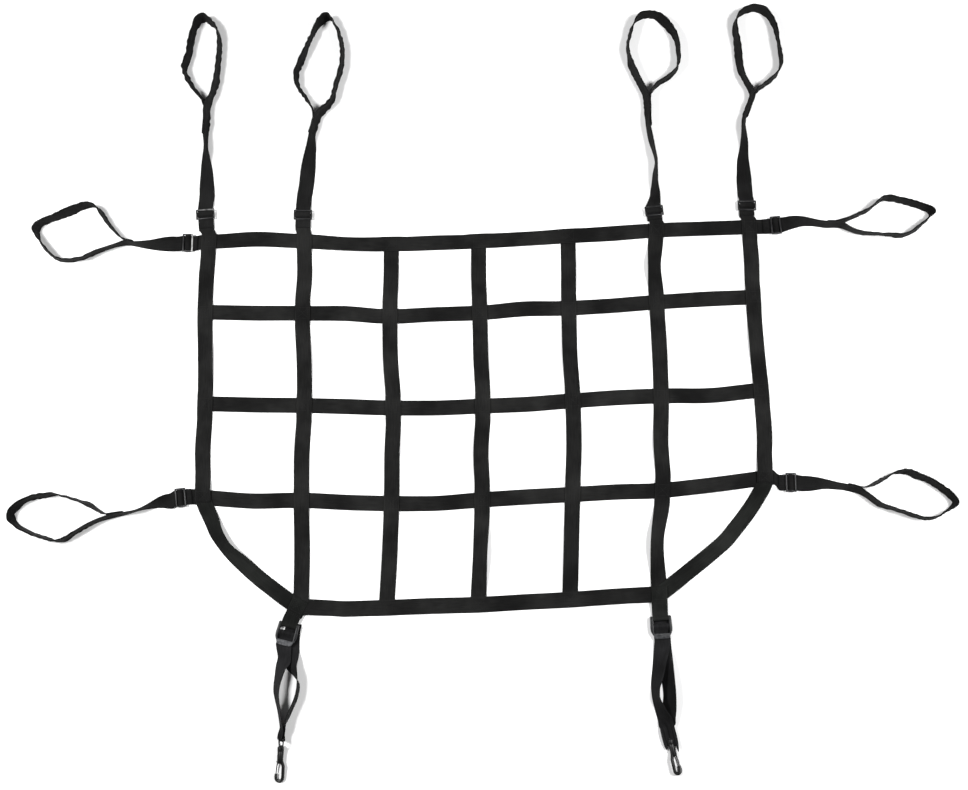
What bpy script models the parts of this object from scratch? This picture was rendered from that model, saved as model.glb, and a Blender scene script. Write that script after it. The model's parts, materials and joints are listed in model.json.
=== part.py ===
"""A webbing cargo net, spread out on a flat floor with its straps as they fell.

Twelve net straps cross on a pitch of about 150 mm, with a strap across each lower corner.
Eight adjustable loops hang on plastic slides round the sides and the top, and two doubled
straps with swivel snap hooks hang on ladder locks at the bottom.

Every size below is in millimetres, with X to the right, Y up the net and Z off the floor.
"""

import math

import bmesh
import bpy
from mathutils import Matrix, Vector

MM = 0.001
UP = Vector((0, 0, 1))

# Webbing
STRAP_WIDTH = 25.0
STRAP_THICKNESS = 1.4
GAP = 0.3
PLY = STRAP_THICKNESS + GAP
HALF_WIDTH = STRAP_WIDTH / 2
HALF_THICKNESS = STRAP_THICKNESS / 2
TUCK = 8.0  # how far a sewn end reaches past the middle of the strap it is sewn to
SHOULDER = 14.0  # from a crossing's middle to where the upper strap starts down
RAMP = 12.0  # length over which a strap comes down one layer
TO_SLIDE = SHOULDER + 1  # how far past a crossing a strap lies as it goes on to a slide

# Places of the upright straps: x at the level straps h1 to h5, and halfway between them.
UPRIGHT_COLUMNS = ("name", "h1", "mid12", "h2", "mid23", "h3", "mid34", "h4", "mid45", "h5")
UPRIGHT_X = (
    ("v1", -468, -469, -470, -467, -465, -466, -463, None, None),
    ("v2", -306, -304, -306, -302, -300, -302, -301, -298, -298),
    ("v3", -158, -158, -159, -157, -152, -153, -153, -155, -159),
    ("v4", -10, -10, -8, -6, -3, -6, -4, -7, -10),
    ("v5", 142, 142, 142, 143, 147, 148, 145, 142, 139),
    ("v6", 292, 287, 290, 293, 294, 292, 293, 282, 284),
    ("v7", 450, 452, 453, 456, 461, 464, 462, None, None),
)

# Places of the level straps: y at the upright straps v1 to v7, and halfway between them.
LEVEL_COLUMNS = ("name", "v1", "mid12", "v2", "mid23", "v3", "mid34", "v4")
LEVEL_COLUMNS += ("mid45", "v5", "mid56", "v6", "mid67", "v7")
LEVEL_Y = (
    ("h1", 264, 268, 265, 260, 260, 262, 265, 269, 274, 278, 284, 287, 290),
    ("h2", 142, 140, 140, 139, 135, 138, 141, 147, 149, 153, 159, 164, 168),
    ("h3", -14, -16, -17, -19, -21, -21, -18, -15, -9, -4, -1, 0, 9),
    ("h4", -170, -176, -175, -178, -180, -180, -174, -169, -165, -161, -158, -149, -138),
    ("h5", None, None, -347, -351, -349, -346, -344, -340, -336, -331, -327, None, None),
)

# How far each strap has rolled over at the middle of each span, in degrees.
SPAN_ROLLS = {
    "v1": (20, -6, 5),
    "v2": (4, -6, 8, 6),
    "v3": (-5, 7, -4, 8),
    "v4": (6, -5, 7, -24),
    "v5": (-12, 6, -7, 5),
    "v6": (26, -7, 6, 28),
    "v7": (-8, 7, -6),
    "h1": (10, -16, 5, -8, 10, -6),
    "h2": (6, 12, -9, 11, -7, 8),
    "h3": (-5, 6, -8, 6, 8, -6),
    "h4": (13, -6, 20, -5, 7, -9),
    "h5": (6, -7, 5, -6),
}

# Layers at the crossings, counted from the floor
BOTTOM_LAYER, SECOND_LAYER, THIRD_LAYER, FOURTH_LAYER, TOP_LAYER = range(5)
TUCKED_UPRIGHTS = ("v3", "v4", "v5")  # these end under h1 and h5

# The straps across the lower corners: x, y, roll and layer, from the side strap to h5.
CORNER_LEFT = (
    (-466, -165, 0, 1),
    (-461, -178, 0, 1),
    (-454.3, -192.7, 0, 1),
    (-447, -208, 6, 0),
    (-438, -229, 26, 0),
    (-420, -255, 34, 0),
    (-398, -275, 12, 0),
    (-368, -301, 4, 0),
    (-343, -320, 3, 0),
    (-325, -333, 0, 2),
    (-306, -346, 0, 2),
    (-290, -357, 0, 2),
)
CORNER_RIGHT = (
    (464, -140, 0, 1),
    (460, -151, 0, 1),
    (453, -163, 0, 1),
    (441, -182, 5, 0),
    (427, -201, 8, 0),
    (411, -221, 5, 0),
    (394, -241, -6, 0),
    (372, -260, -8, 0),
    (348, -279, -4, 0),
    (325, -297, 0, 0),
    (307, -311, 0, 2),
    (291, -323, 0, 2),
    (277, -334, 0, 2),
)

# Slides, which are three bars in one frame
SLIDE_WIDTH = 31.4
SLIDE_LENGTH = 17.6
SLIDE_THICKNESS = 2.4
SLIDE_WINDOW_WIDTH = 26.2
SLIDE_WINDOW_LENGTH = 12.4
SLIDE_BAR_RADIUS = 1.2
SLIDE_ROUNDING = 0.9
SLIDE_BAR_Z = 3 * PLY + SLIDE_THICKNESS / 2  # three plies lie under its first bar
THREAD_FOOT = 4.9  # where the threaded straps start up to the middle bar
TAB_LAP = 1.5  # how far the upper ply of a sewn fold reaches past the lower one
TAB_RETURN = ((-1.4, 3.2), (-3.1, 1.5))  # along, z: the way back down from the bar
LOOP_FOOT = 5.86
LOOP_WRAP_END = -12.0  # degrees round the middle bar
LOOP_EXIT = ((4.7, 4.3), (6.3, 3.9))  # along, z: out under the far bar
LOOP_EXIT_Z = 3.8
DESCENT_START = 10.0
ARC_STEP = 24.0
DESCENT = 30.0  # over which a loop's strap comes down from its slide to the floor

# Each slide: its middle, the direction its loop leaves in, and how far the sewn fold and
# the loop's own free end reach back from the middle bar.
SLIDES = {
    "top_1": (-474.5, 311, 95, 26, 24),
    "top_2": (-308.5, 310, 90, 24, 22),
    "top_3": (288.5, 317, 96, 15, 15),
    "top_4": (446.5, 326.5, 90, 17, 17),
    "left_1": (-502.5, 261, 180, 12, 16),
    "left_2": (-499, -170.5, 187, 13, 18),
    "right_1": (494.5, 292, 5, 18, 22),
    "right_2": (504, -145.5, 0, 17, 20),
}

# Loops. Each row is a section: distance out from the start point beside the slide, distance
# to the right of that direction, and roll: 0 lies flat, 90 stands on edge, more leans out.
# The stem is walked outwards, then the loop is walked round, and the end comes back along
# the stem to the tail row, where it is sewn. A turn of 1 goes round to the left.
LOOPS = {
    "top_1": {
        "start": (-474, 312),
        "turn": 1,
        "stem": ((31, 1, 12), (52, 1, 36), (74, 1, 52), (95, 0, 70), (116, -2, 84),
                 (137, -3, 80), (163, -2, 80), (186, -2, 80)),
        "tail_row": 5,
        "round": ((202, 2, 84), (213, 6, 86), (235, 12, 82), (257, 13, 85), (279, 15, 84),
                  (301, 15, 85), (323, 13, 88), (335, 7, 92), (345, -4, 97), (351, -13, 101),
                  (347, -22, 103), (334, -28, 95), (318, -32, 94), (301, -35, 98),
                  (282, -37, 97), (268, -42, 95), (257, -45, 94), (246, -41, 100),
                  (230, -33, 103), (213, -20, 100), (202, -11, 96)),
    },
    "top_2": {
        "start": (-308, 311),
        "turn": 1,
        "stem": ((33, 1, 4), (54, 4, 8), (75, 6, 18), (97, 9, 40), (118, 12, 57),
                 (139, 13, 75), (152, 16, 78), (165, 19, 76)),
        "tail_row": 5,
        "round": ((178, 25, 80), (189, 36, 85), (201, 45, 87), (215, 49, 88), (237, 54, 90),
                  (259, 60, 87), (280, 62, 85), (302, 61, 80), (324, 55, 78), (344, 46, 82),
                  (354, 37, 95), (349, 27, 103), (335, 16, 92), (320, 9, 88), (302, 2, 90),
                  (280, -6, 97), (259, -14, 95), (245, -17, 98), (228, -14, 102),
                  (215, -6, 105), (200, 4, 100), (182, 13, 94)),
    },
    "top_3": {
        "start": (289, 316),
        "turn": -1,
        "stem": ((28, 1, 54), (49, 1, 74), (70, 2, 82), (88, 4, 88), (104, 1, 86),
                 (124, -4, 80), (147, -8, 80), (163, -9, 80), (180, -9, 76),
                 (196, -10, 74)),
        "tail_row": 6,
        "round": ((208, -12, 77), (221, -18, 79), (242, -28, 80), (264, -37, 81),
                  (281, -40, 88), (297, -41, 84), (315, -37, 80), (330, -33, 82),
                  (343, -26, 88), (351, -16, 97), (353, -4, 94), (350, 10, 96),
                  (341, 22, 100), (330, 31, 98), (316, 40, 94), (298, 45, 95),
                  (271, 47, 94), (257, 45, 88), (242, 33, 86), (231, 17, 88),
                  (220, 4, 86), (208, -4, 88)),
    },
    "top_4": {
        "start": (448, 325),
        "turn": -1,
        "stem": ((19, -3, 2), (40, -4, 6), (61, -6, 36), (83, -7, 53), (104, -5, 65),
                 (125, -4, 78), (141, -4, 84), (155, -2, 80), (168, 2, 76), (181, 7, 78),
                 (192, 11, 78)),
        "tail_row": 7,
        "round": ((203, 12, 86), (213, 7, 91), (234, -3, 90), (246, -7, 79),
                  (263, -9, 75), (285, -10, 77), (303, -12, 82), (321, -14, 83),
                  (334, -12, 88), (345, -4, 94), (353, 10, 97), (355, 24, 94),
                  (351, 36, 96), (342, 46, 92), (321, 56, 89), (288, 61, 85),
                  (257, 64, 89), (243, 61, 89), (232, 54, 85), (222, 43, 86),
                  (213, 31, 88), (204, 20, 86)),
    },
    "left_1": {
        "start": (-500, 261),
        "turn": -1,
        "stem": ((17, -1, 3), (37, -3, 34), (57, -5, 60), (74, -5, 74), (91, -4, 85),
                 (103, -2, 83)),
        "tail_row": 4,
        "round": ((118, -5, 92), (138, -11, 94), (158, -19, 93), (178, -28, 97),
                  (203, -32, 92), (218, -30, 88), (232, -21, 83), (250, -1, 81),
                  (256, 11, 93), (259, 22, 101), (253, 31, 94), (242, 37, 94),
                  (222, 45, 98), (202, 54, 104), (182, 63, 100), (168, 65, 93),
                  (158, 61, 88), (151, 53, 82), (140, 36, 82), (129, 22, 82),
                  (116, 8, 85)),
    },
    "left_2": {
        "start": (-502, -171),
        "turn": -1,
        "stem": ((12, -5, 10), (28, -8, 52), (48, -15, 80), (67, -21, 92), (86, -26, 84),
                 (103, -29, 80)),
        "tail_row": 4,
        "round": ((119, -34, 83), (135, -40, 84), (154, -50, 88), (173, -62, 90),
                  (185, -69, 84), (198, -71, 90), (212, -66, 98), (231, -60, 95),
                  (252, -51, 96), (264, -43, 95), (271, -34, 101), (272, -25, 96),
                  (264, -15, 103), (252, -6, 97), (235, 1, 100), (215, 4, 99),
                  (202, 6, 94), (186, 2, 86), (166, -4, 86), (146, -11, 80),
                  (133, -19, 85), (119, -27, 88)),
    },
    "right_1": {
        "start": (498, 291.5),
        "turn": 1,
        "stem": ((20, -3, 40), (40, -5, 64), (60, -3, 78), (80, 0, 80), (93, 0, 80)),
        "tail_row": 3,
        "round": ((105, 1, 82), (117, 7, 91), (131, 13, 94), (151, 16, 95), (171, 17, 97),
                  (191, 18, 91), (205, 20, 88), (217, 17, 88), (232, 8, 84),
                  (253, -9, 85), (261, -19, 96), (258, -25, 98), (245, -31, 95),
                  (224, -38, 95), (204, -43, 94), (188, -46, 97), (176, -44, 97),
                  (163, -34, 95), (150, -24, 94), (132, -16, 93), (114, -8, 96)),
    },
    "right_2": {
        "start": (507, -146),
        "turn": 1,
        "stem": ((15, 1, 5), (34, 2, 34), (54, 3, 60), (73, 6, 68), (86, 8, 71),
                 (103, 12, 72)),
        "tail_row": 4,
        "round": ((114, 18, 80), (124, 25, 82), (141, 37, 81), (160, 43, 88),
                  (179, 49, 88), (199, 56, 86), (218, 59, 84), (233, 56, 82),
                  (248, 47, 86), (261, 38, 97), (264, 31, 94), (258, 23, 97),
                  (240, 8, 97), (221, -4, 100), (202, -11, 106), (189, -17, 103),
                  (175, -18, 99), (161, -14, 92), (143, -3, 84), (128, 5, 84),
                  (116, 8, 86)),
    },
}

# Ladder locks: a frame with a bar for the tab, a locking bar and a wide lip that narrows.
# Distances along one run from its top edge towards the hook.
LOCK_OUTLINE = (  # along, half width
    (0, 15.6), (0.8, 16.8), (10, 17.3), (19, 17.6), (24, 17.2), (28, 15.4), (31.5, 13.4),
    (35, 11.8), (36.3, 8.5), (36.6, 4),
)
LOCK_BOTTOM = 2.1
LOCK_TOP = 9.4
LOCK_WINDOW_HALF_WIDTH = 13.0
LOCK_WINDOW_END = 28.0
LOCK_PASSAGE_START = 25.0
LOCK_RAIL_END = 29.5
LOCK_LIP_BOTTOM = 3 * PLY
LOCK_ROUNDING = 1.0
LOCK_BAR_RADIUS = 1.9
LOCK_TAB_BAR = (4.0, 4 * PLY + HALF_THICKNESS - 0.5)  # along, z
LOCK_STRAP_BAR = (16.0, 4 * PLY + HALF_THICKNESS - 0.9)
LOCK_LENGTH = 36.6
LOCK_MOUTH_HALF_WIDTH = 20.0
LOCK_TAB_FOOT = -3.4  # where the tab's upper ply starts up to its bar
LOCK_TAB_RETURN = ((0.6, 3.6), (-2.5, 2.4))  # along, z: the way back down from its bar
LOCK_TAB_LIFT = (16.5, 22.0)  # where the tab's lower ply comes off the floor, and is up
LOCK_STRAP_FOOT = 24.2
LOCK_STRAP_RETURN = ((19.4, 3.0), (22.5, 2.4))

# Each ladder lock: its top edge's middle, and the direction from there to its hook.
LOCKS = {"left": (-315, -373.5, 255.5), "right": (284.7, -362.3, 273.7)}
# Each tab: x and y where its plies cross the corner, how far from there its upper ply stays
# on top, and the layer it then comes down to.
LOCK_TABS = {"left": (-301, -342, 24, 4), "right": (283.5, -322, 20, 2)}

# The hook straps. Each goes from under the tab down to the hook's eye, and back up to the
# lock. Rows, from the lock to the hook: x, y, roll, width, and height of its lower edge.
HOOK_STRAPS = {
    "left": {
        "rear": ((-309, -374, 0, 25, 0), (-311.5, -392, 0, 25, 0), (-311.6, -417, 0, 25, 0),
                 (-311, -432, 23, 25, 0), (-308.7, -444.5, 45, 25, 0),
                 (-302.5, -457, 70, 25, 0), (-298.6, -470, 91, 25, 0),
                 (-299.1, -482, 95, 25, 0), (-302.7, -495, 96, 25, 0),
                 (-307.9, -507, 96, 25, 0), (-313, -520, 94, 25, 0),
                 (-316.9, -532, 84, 24, 0), (-319, -540, 72, 20, 1)),
        "front": ((-322.8, -432, 22, 25, 0), (-327.5, -444.5, 42, 25, 0),
                  (-330, -457, 51, 25, 0), (-332.2, -470, 58, 25, 0),
                  (-332.8, -482, 62, 25, 0), (-331.2, -495, 67, 25, 0),
                  (-328.7, -507, 70, 25, 0), (-326.4, -520, 73, 25, 0),
                  (-324.6, -531, 73, 24, 0), (-323.6, -539.5, 68, 20, 1)),
    },
    "right": {
        "rear": ((286, -362, 0, 25, 0), (288, -390, 0, 25, 0), (289, -408, 0, 25, 0),
                 (291, -432, 25, 25, 0), (293.5, -451, 36, 25, 0), (295, -463, 42, 25, 0),
                 (296.5, -480, 46, 25, 0), (296.6, -495, 44, 25, 0),
                 (295, -512, 32, 25, 0), (293, -525, 23, 24, 0), (292, -533, 20, 20, 0.3)),
        "front": ((286.4, -411, 6, 25, 2.2), (282, -432, 38, 25, 0), (278.5, -451, 48, 25, 0),
                  (276, -463, 56, 25, 0), (273.8, -476, 66, 25, 0), (274.4, -490, 69, 25, 0),
                  (277.8, -501, 62, 25, 0), (284, -516, 48, 25, 0), (289, -527, 32, 24, 1.2),
                  (291, -534, 23, 20, 2.8)),
    },
}

# Snap hooks. Distances along are from the middle of the eye's bar towards the hook's bend.
HOOKS = {  # bar's x, y and z, direction, slope down, roll of the eye and of the hook, gate's side
    "left": (-323.6, -554.5, 9.9, 267.4, 5.7, 61, 8, -1),
    "right": (293.4, -544, 5.45, 282.7, 0, 20, -28, 1),
}
GATHERED_WIDTH = 15.0
SPREAD_WIDTH = 16.0  # where the gathered strap starts to open out
WRAP_REAR = ((-6.4, -1.5), (-3.4, -2.0))  # along, off: the strap's way to the eye's bar
WRAP_FRONT = ((-3.4, 2.0), (-6.4, 1.5))
EYE_HALF_WIDTH = 9.6
EYE_LENGTH = 15.5
EYE_SQUARENESS = 0.6
EYE_WIRE_RADIUS = 1.3
COLLAR_START, COLLAR_END = 13.5, 20.0
COLLAR_RADIUS = 5.2
COLLAR_BORE = 2.5
HEAD_START = 11.0
HEAD_RADIUS = 3.3
STEM_RADIUS = 2.2
BARREL_END = 39.0
BARREL_RADIUS = 5.0
BEND_HALF_WIDTH = 5.6
BEND_MIDDLE = 61.5
BODY_RADIUS = 2.75
NOSE_RADIUS = 2.2
NOSE_END = 56.0
GATE_PIVOT_SIDE = 3.4
GATE_PIVOT_ALONG = 36.5
PIVOT_PIN_RADIUS = 0.9
GATE_KNUCKLE_RADIUS = 2.1
GATE_KNUCKLE_BORE = 1.2
GATE_THICKNESS = 2.8
GATE_RADIUS = 1.0
GATE_SLOT = GATE_THICKNESS + 2 * GAP
GATE_SLOT_SIZE = 9.0
GATE_SLOT_OFFSET = 1.5  # from the pivot
PIVOT_PIN_ANCHOR = 2.4  # how much longer the pin is than its slot

# Finishes: colour, roughness, metallic
FINISHES = {
    "net_webbing": ((0.018, 0.018, 0.018), 0.82, 0.0),
    "corner_webbing": ((0.018, 0.019, 0.018), 0.82, 0.0),
    "loop_webbing": ((0.020, 0.020, 0.020), 0.84, 0.0),
    "hook_strap_webbing": ((0.020, 0.020, 0.021), 0.84, 0.0),
    "slide_plastic": ((0.055, 0.055, 0.057), 0.38, 0.0),
    "lock_plastic": ((0.045, 0.046, 0.048), 0.35, 0.0),
    "hook_metal": ((0.035, 0.035, 0.036), 0.40, 0.85),
    "gate_metal": ((0.060, 0.060, 0.062), 0.34, 0.90),
}


# --- Small helpers -------------------------------------------------------------------


def heading(degrees):
    angle = math.radians(degrees)
    return Vector((math.cos(angle), math.sin(angle), 0))


def left_of(direction):
    return Vector((-direction.y, direction.x, 0)).normalized()


def right_of(direction):
    return -left_of(direction)


def layer_z(layer):
    """Height of the middle of a strap that lies in this layer."""
    return HALF_THICKNESS + layer * PLY


def resting_z(roll, width=STRAP_WIDTH):
    """Height of the middle of a strap whose lower edge touches the floor at this roll."""
    angle = math.radians(roll)
    return width / 2 * abs(math.sin(angle)) + HALF_THICKNESS * abs(math.cos(angle))


def hermite(before, start, end, after, share):
    """A point on the smooth curve through four, with slopes by their spacing."""
    first = max((start - before).length, 1e-6)
    middle = max((end - start).length, 1e-6)
    last = max((after - end).length, 1e-6)
    leave = (end - before) * (middle / (first + middle))
    arrive = (after - start) * (middle / (middle + last))
    s2, s3 = share * share, share * share * share
    return (
        start * (2 * s3 - 3 * s2 + 1)
        + leave * (s3 - 2 * s2 + share)
        + end * (3 * s2 - 2 * s3)
        + arrive * (s3 - s2)
    )


def smoothed(rows, steps):
    """The rows with steps - 1 more between each two, on a smooth curve."""
    points = [Vector(row) for row in rows]
    padded = [points[0]] + points + [points[-1]]
    curve = []
    for index in range(len(points) - 1):
        four = padded[index : index + 4]
        curve += [hermite(*four, step / steps) for step in range(steps)]
    return curve + [points[-1]]


def arc(centre, radius, start, end):
    """Points round a bar, as (along, z), from one angle in degrees to another."""
    steps = max(2, math.ceil(abs(end - start) / ARC_STEP))
    angles = [math.radians(start + (end - start) * step / steps) for step in range(steps + 1)]
    return [(centre[0] + radius * math.cos(a), centre[1] + radius * math.sin(a)) for a in angles]


def tangent_angle(foot, centre, radius):
    """The angle at which a straight rise from foot meets the upper side of a bar's wrap."""
    across, rise = abs(centre[0] - foot[0]), centre[1] - foot[1]
    slope = math.atan2(rise, across) + math.asin(radius / math.hypot(across, rise))
    lean = 90 + math.degrees(slope)
    return lean if foot[0] < centre[0] else 180 - lean


# --- Materials, collections and objects ----------------------------------------------


def clear_scene():
    for obj in list(bpy.data.objects):
        bpy.data.objects.remove(obj, do_unlink=True)


def new_collection(name):
    collection = bpy.data.collections.new(name)
    bpy.context.scene.collection.children.link(collection)
    return collection


def make_material(name):
    colour, roughness, metallic = FINISHES[name]
    material = bpy.data.materials.new(name)
    material.use_nodes = True
    shader = material.node_tree.nodes["Principled BSDF"]
    shader.inputs["Base Color"].default_value = (*colour, 1)
    shader.inputs["Roughness"].default_value = roughness
    shader.inputs["Metallic"].default_value = metallic
    return material


def add_object(name, data, finish):
    obj = bpy.data.objects.new(name, data)
    parts.objects.link(obj)
    if not data.materials:
        data.materials.append(materials[finish])
    return obj


def add_mesh_object(name, shape, finish, collection=None):
    """An object from a bmesh in millimetres."""
    bmesh.ops.scale(shape, vec=(MM, MM, MM), verts=shape.verts)
    mesh = bpy.data.meshes.new(name)
    shape.to_mesh(mesh)
    shape.free()
    if collection is not None:
        obj = bpy.data.objects.new(name, mesh)
        collection.objects.link(obj)
        return obj
    return add_object(name, mesh, finish)


def hide_helper(obj):
    obj.hide_render = True
    obj.display_type = "WIRE"


def combine(obj, other, operation):
    """Joins or cuts a mesh object with a helper."""
    hide_helper(other)
    modifier = obj.modifiers.new(operation.lower() + "_" + other.name, "BOOLEAN")
    modifier.operation = operation
    modifier.object = other
    modifier.solver = "EXACT"


def settled_mesh(obj, name):
    """The object's mesh with its modifiers applied, welded, for copies to share."""
    graph = bpy.context.evaluated_depsgraph_get()
    mesh = bpy.data.meshes.new_from_object(obj.evaluated_get(graph))
    mesh.name = name
    shape = bmesh.new()
    shape.from_mesh(mesh)
    bmesh.ops.remove_doubles(shape, verts=shape.verts, dist=1e-6)
    shape.to_mesh(mesh)
    shape.free()
    for polygon in mesh.polygons:
        polygon.use_smooth = True
    mesh.set_sharp_from_angle(angle=math.radians(40))
    return mesh


# --- Straps --------------------------------------------------------------------------
# A station is (centre, direction across the strap, width).


def add_strap(name, stations, finish):
    """One length of webbing through its stations, as an open strip made thick."""
    shape = bmesh.new()
    edges = []
    for centre, across, width in stations:
        reach = across.normalized() * width / 2
        edges.append((shape.verts.new(centre - reach), shape.verts.new(centre + reach)))
    for (right, left), (next_right, next_left) in zip(edges, edges[1:]):
        shape.faces.new((right, next_right, next_left, left))
    obj = add_mesh_object(name, shape, finish)
    solid = obj.modifiers.new("thickness", "SOLIDIFY")
    solid.thickness = STRAP_THICKNESS * MM
    solid.offset = 0
    solid.use_even_offset = True
    return obj


def turned_back(stations):
    """The same stations walked the other way."""
    return [(centre, -across, width) for centre, across, width in reversed(stations)]


def stations_on_plan(rows, turn=1):
    """Stations for rows of x, y, z, roll and width, rolled about the way they run."""
    stations = []
    for index, row in enumerate(rows):
        before = rows[max(index - 1, 0)]
        after = rows[min(index + 1, len(rows) - 1)]
        run = Vector((after[0] - before[0], after[1] - before[1], 0))
        roll = math.radians(row[3])
        across = left_of(run) * turn * math.cos(roll) + UP * math.sin(roll)
        stations.append((Vector(row[:3]), across, row[4]))
    return stations


def stations_on_profile(points, origin, direction, across, width=STRAP_WIDTH):
    """Stations for a side view of (along, z) points, seen square to the strap."""
    return [
        (Vector((origin[0], origin[1], 0)) + direction * along + UP * z, across, width)
        for along, z in points
    ]


def crossing_rows(x, y, run, low, high, reach_before, reach_after):
    """Rows where a strap climbs from one layer to another over a crossing, and comes down."""
    rows = []
    climb = RAMP * max(high - low, 0.5)
    for along, layer in (
        (-SHOULDER - climb, low),
        (-SHOULDER, high),
        (SHOULDER, high),
        (SHOULDER + climb, low),
    ):
        if -reach_before <= along <= reach_after:
            spot = Vector((x, y, 0)) + run * along
            rows.append((spot.x, spot.y, layer_z(layer), 0, STRAP_WIDTH))
    return rows


# --- The net -------------------------------------------------------------------------


def named_rows(columns, table):
    return {row[0]: dict(zip(columns[1:], row[1:])) for row in table}


def layers_at(upright, level):
    """The layers of the upright and of the level strap where they cross."""
    if level == "h5" and upright in ("v2", "v6"):
        return SECOND_LAYER, FOURTH_LAYER
    if level in ("h1", "h5") and upright in TUCKED_UPRIGHTS:
        return BOTTOM_LAYER, SECOND_LAYER
    if level == "h4" and upright in ("v1", "v7"):
        return THIRD_LAYER, BOTTOM_LAYER
    return SECOND_LAYER, BOTTOM_LAYER


def strap_rows(crossings, spans, start_reach, end_reach):
    """Rows of a net strap from its crossings (x, y, layer) and spans (x, y, roll)."""
    rows = []
    for index, (x, y, layer) in enumerate(crossings):
        before = spans[index - 1] if index else None
        after = spans[index] if index < len(spans) else None
        from_spot = Vector(before[:2]) if before else Vector((x, y))
        to_spot = Vector(after[:2]) if after else Vector((x, y))
        run = (to_spot - from_spot).normalized()
        run = Vector((run.x, run.y, 0))
        reach_before = 999 if before else start_reach
        reach_after = 999 if after else end_reach
        if not before:
            rows.append(end_row(x, y, -run * start_reach, layer))
        rows += crossing_rows(x, y, run, BOTTOM_LAYER, layer, reach_before, reach_after)
        if after:
            rows.append((*after[:2], resting_z(after[2]), after[2], STRAP_WIDTH))
        else:
            rows.append(end_row(x, y, run * end_reach, layer))
    return rows


def end_row(x, y, offset, layer):
    return (x + offset.x, y + offset.y, layer_z(layer), 0, STRAP_WIDTH)


def upright_rows(name):
    """Rows from the foot of an upright strap to its top crossing."""
    levels = named_rows(LEVEL_COLUMNS, LEVEL_Y)
    places = named_rows(UPRIGHT_COLUMNS, UPRIGHT_X)[name]
    crossed = [level for level in ("h5", "h4", "h3", "h2", "h1") if places[level] is not None]
    crossings = [
        (places[level], levels[level][name], layers_at(name, level)[0]) for level in crossed
    ]
    spans = []
    rolls = list(reversed(SPAN_ROLLS[name]))
    for index, (lower, upper) in enumerate(zip(crossed, crossed[1:])):
        middle = places["mid" + upper[1] + lower[1]]
        y = (levels[lower][name] + levels[upper][name]) / 2
        spans.append((middle, y, rolls[index]))
    head = TUCK if name in TUCKED_UPRIGHTS else TO_SLIDE
    return strap_rows(crossings, spans, TUCK, head)


def level_rows(name):
    """Rows from the left end of a level strap to its right end."""
    uprights = named_rows(UPRIGHT_COLUMNS, UPRIGHT_X)
    places = named_rows(LEVEL_COLUMNS, LEVEL_Y)[name]
    crossed = [row[0] for row in UPRIGHT_X if places[row[0]] is not None]
    crossings = [
        (uprights[upright][name], places[upright], layers_at(upright, name)[1])
        for upright in crossed
    ]
    spans = []
    for index, (left, right) in enumerate(zip(crossed, crossed[1:])):
        x = (uprights[left][name] + uprights[right][name]) / 2
        spans.append((x, places["mid" + left[1] + right[1]], SPAN_ROLLS[name][index]))
    reach = TO_SLIDE if name in ("h1", "h4") else TUCK
    return strap_rows(crossings, spans, reach, reach)


def tab_thread(slide):
    """The sewn end of a net strap: up over the slide's middle bar, and back under itself."""
    x, y, angle, fold, _ = SLIDES[slide]
    bar = (0.0, SLIDE_BAR_Z)
    radius = SLIDE_BAR_RADIUS + GAP + HALF_THICKNESS
    foot = (-THREAD_FOOT, layer_z(SECOND_LAYER))
    points = [(-fold - TAB_LAP, foot[1]), foot]
    points += arc(bar, radius, tangent_angle(foot, bar, radius), -90)
    points += TAB_RETURN
    points += [(-THREAD_FOOT, layer_z(BOTTOM_LAYER)), (-fold, layer_z(BOTTOM_LAYER))]
    direction = heading(angle)
    return stations_on_profile(points, (x, y), direction, left_of(direction))


def loop_thread(slide, turn):
    """A loop's free end on the tab, over the middle bar, and out under the far bar."""
    x, y, angle, _, free_end = SLIDES[slide]
    bar = (0.0, SLIDE_BAR_Z)
    radius = SLIDE_BAR_RADIUS + GAP + HALF_THICKNESS + PLY
    foot = (-LOOP_FOOT, layer_z(THIRD_LAYER))
    points = [(-free_end, foot[1]), foot]
    points += arc(bar, radius, tangent_angle(foot, bar, radius), LOOP_WRAP_END)
    points += LOOP_EXIT
    points += [(SLIDE_LENGTH / 2 + 1, LOOP_EXIT_Z)]
    direction = heading(angle)
    return stations_on_profile(points, (x, y), direction, left_of(direction) * turn)


def make_net_straps():
    for name in (row[0] for row in UPRIGHT_X):
        stations = stations_on_plan(upright_rows(name))
        slide = {"v1": "top_1", "v2": "top_2", "v6": "top_3", "v7": "top_4"}.get(name)
        if slide:
            stations = stations[:-1] + tab_thread(slide)
        add_strap("strap_upright_" + name[1], stations, "net_webbing")
    for name in (row[0] for row in LEVEL_Y):
        stations = stations_on_plan(level_rows(name))
        slides = {"h1": ("left_1", "right_1"), "h4": ("left_2", "right_2")}.get(name)
        if slides:
            left, right = (tab_thread(slide) for slide in slides)
            stations = turned_back(left) + stations[1:-1] + right
        add_strap("strap_level_" + name[1], stations, "net_webbing")


def make_corner_straps():
    for side, table in (("left", CORNER_LEFT), ("right", CORNER_RIGHT)):
        rows = []
        for x, y, roll, layer in table:
            rows.append((x, y, resting_z(roll) + layer * PLY, roll, STRAP_WIDTH))
        add_strap("strap_corner_" + side, stations_on_plan(rows), "corner_webbing")


# --- Loops and slides ----------------------------------------------------------------


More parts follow.
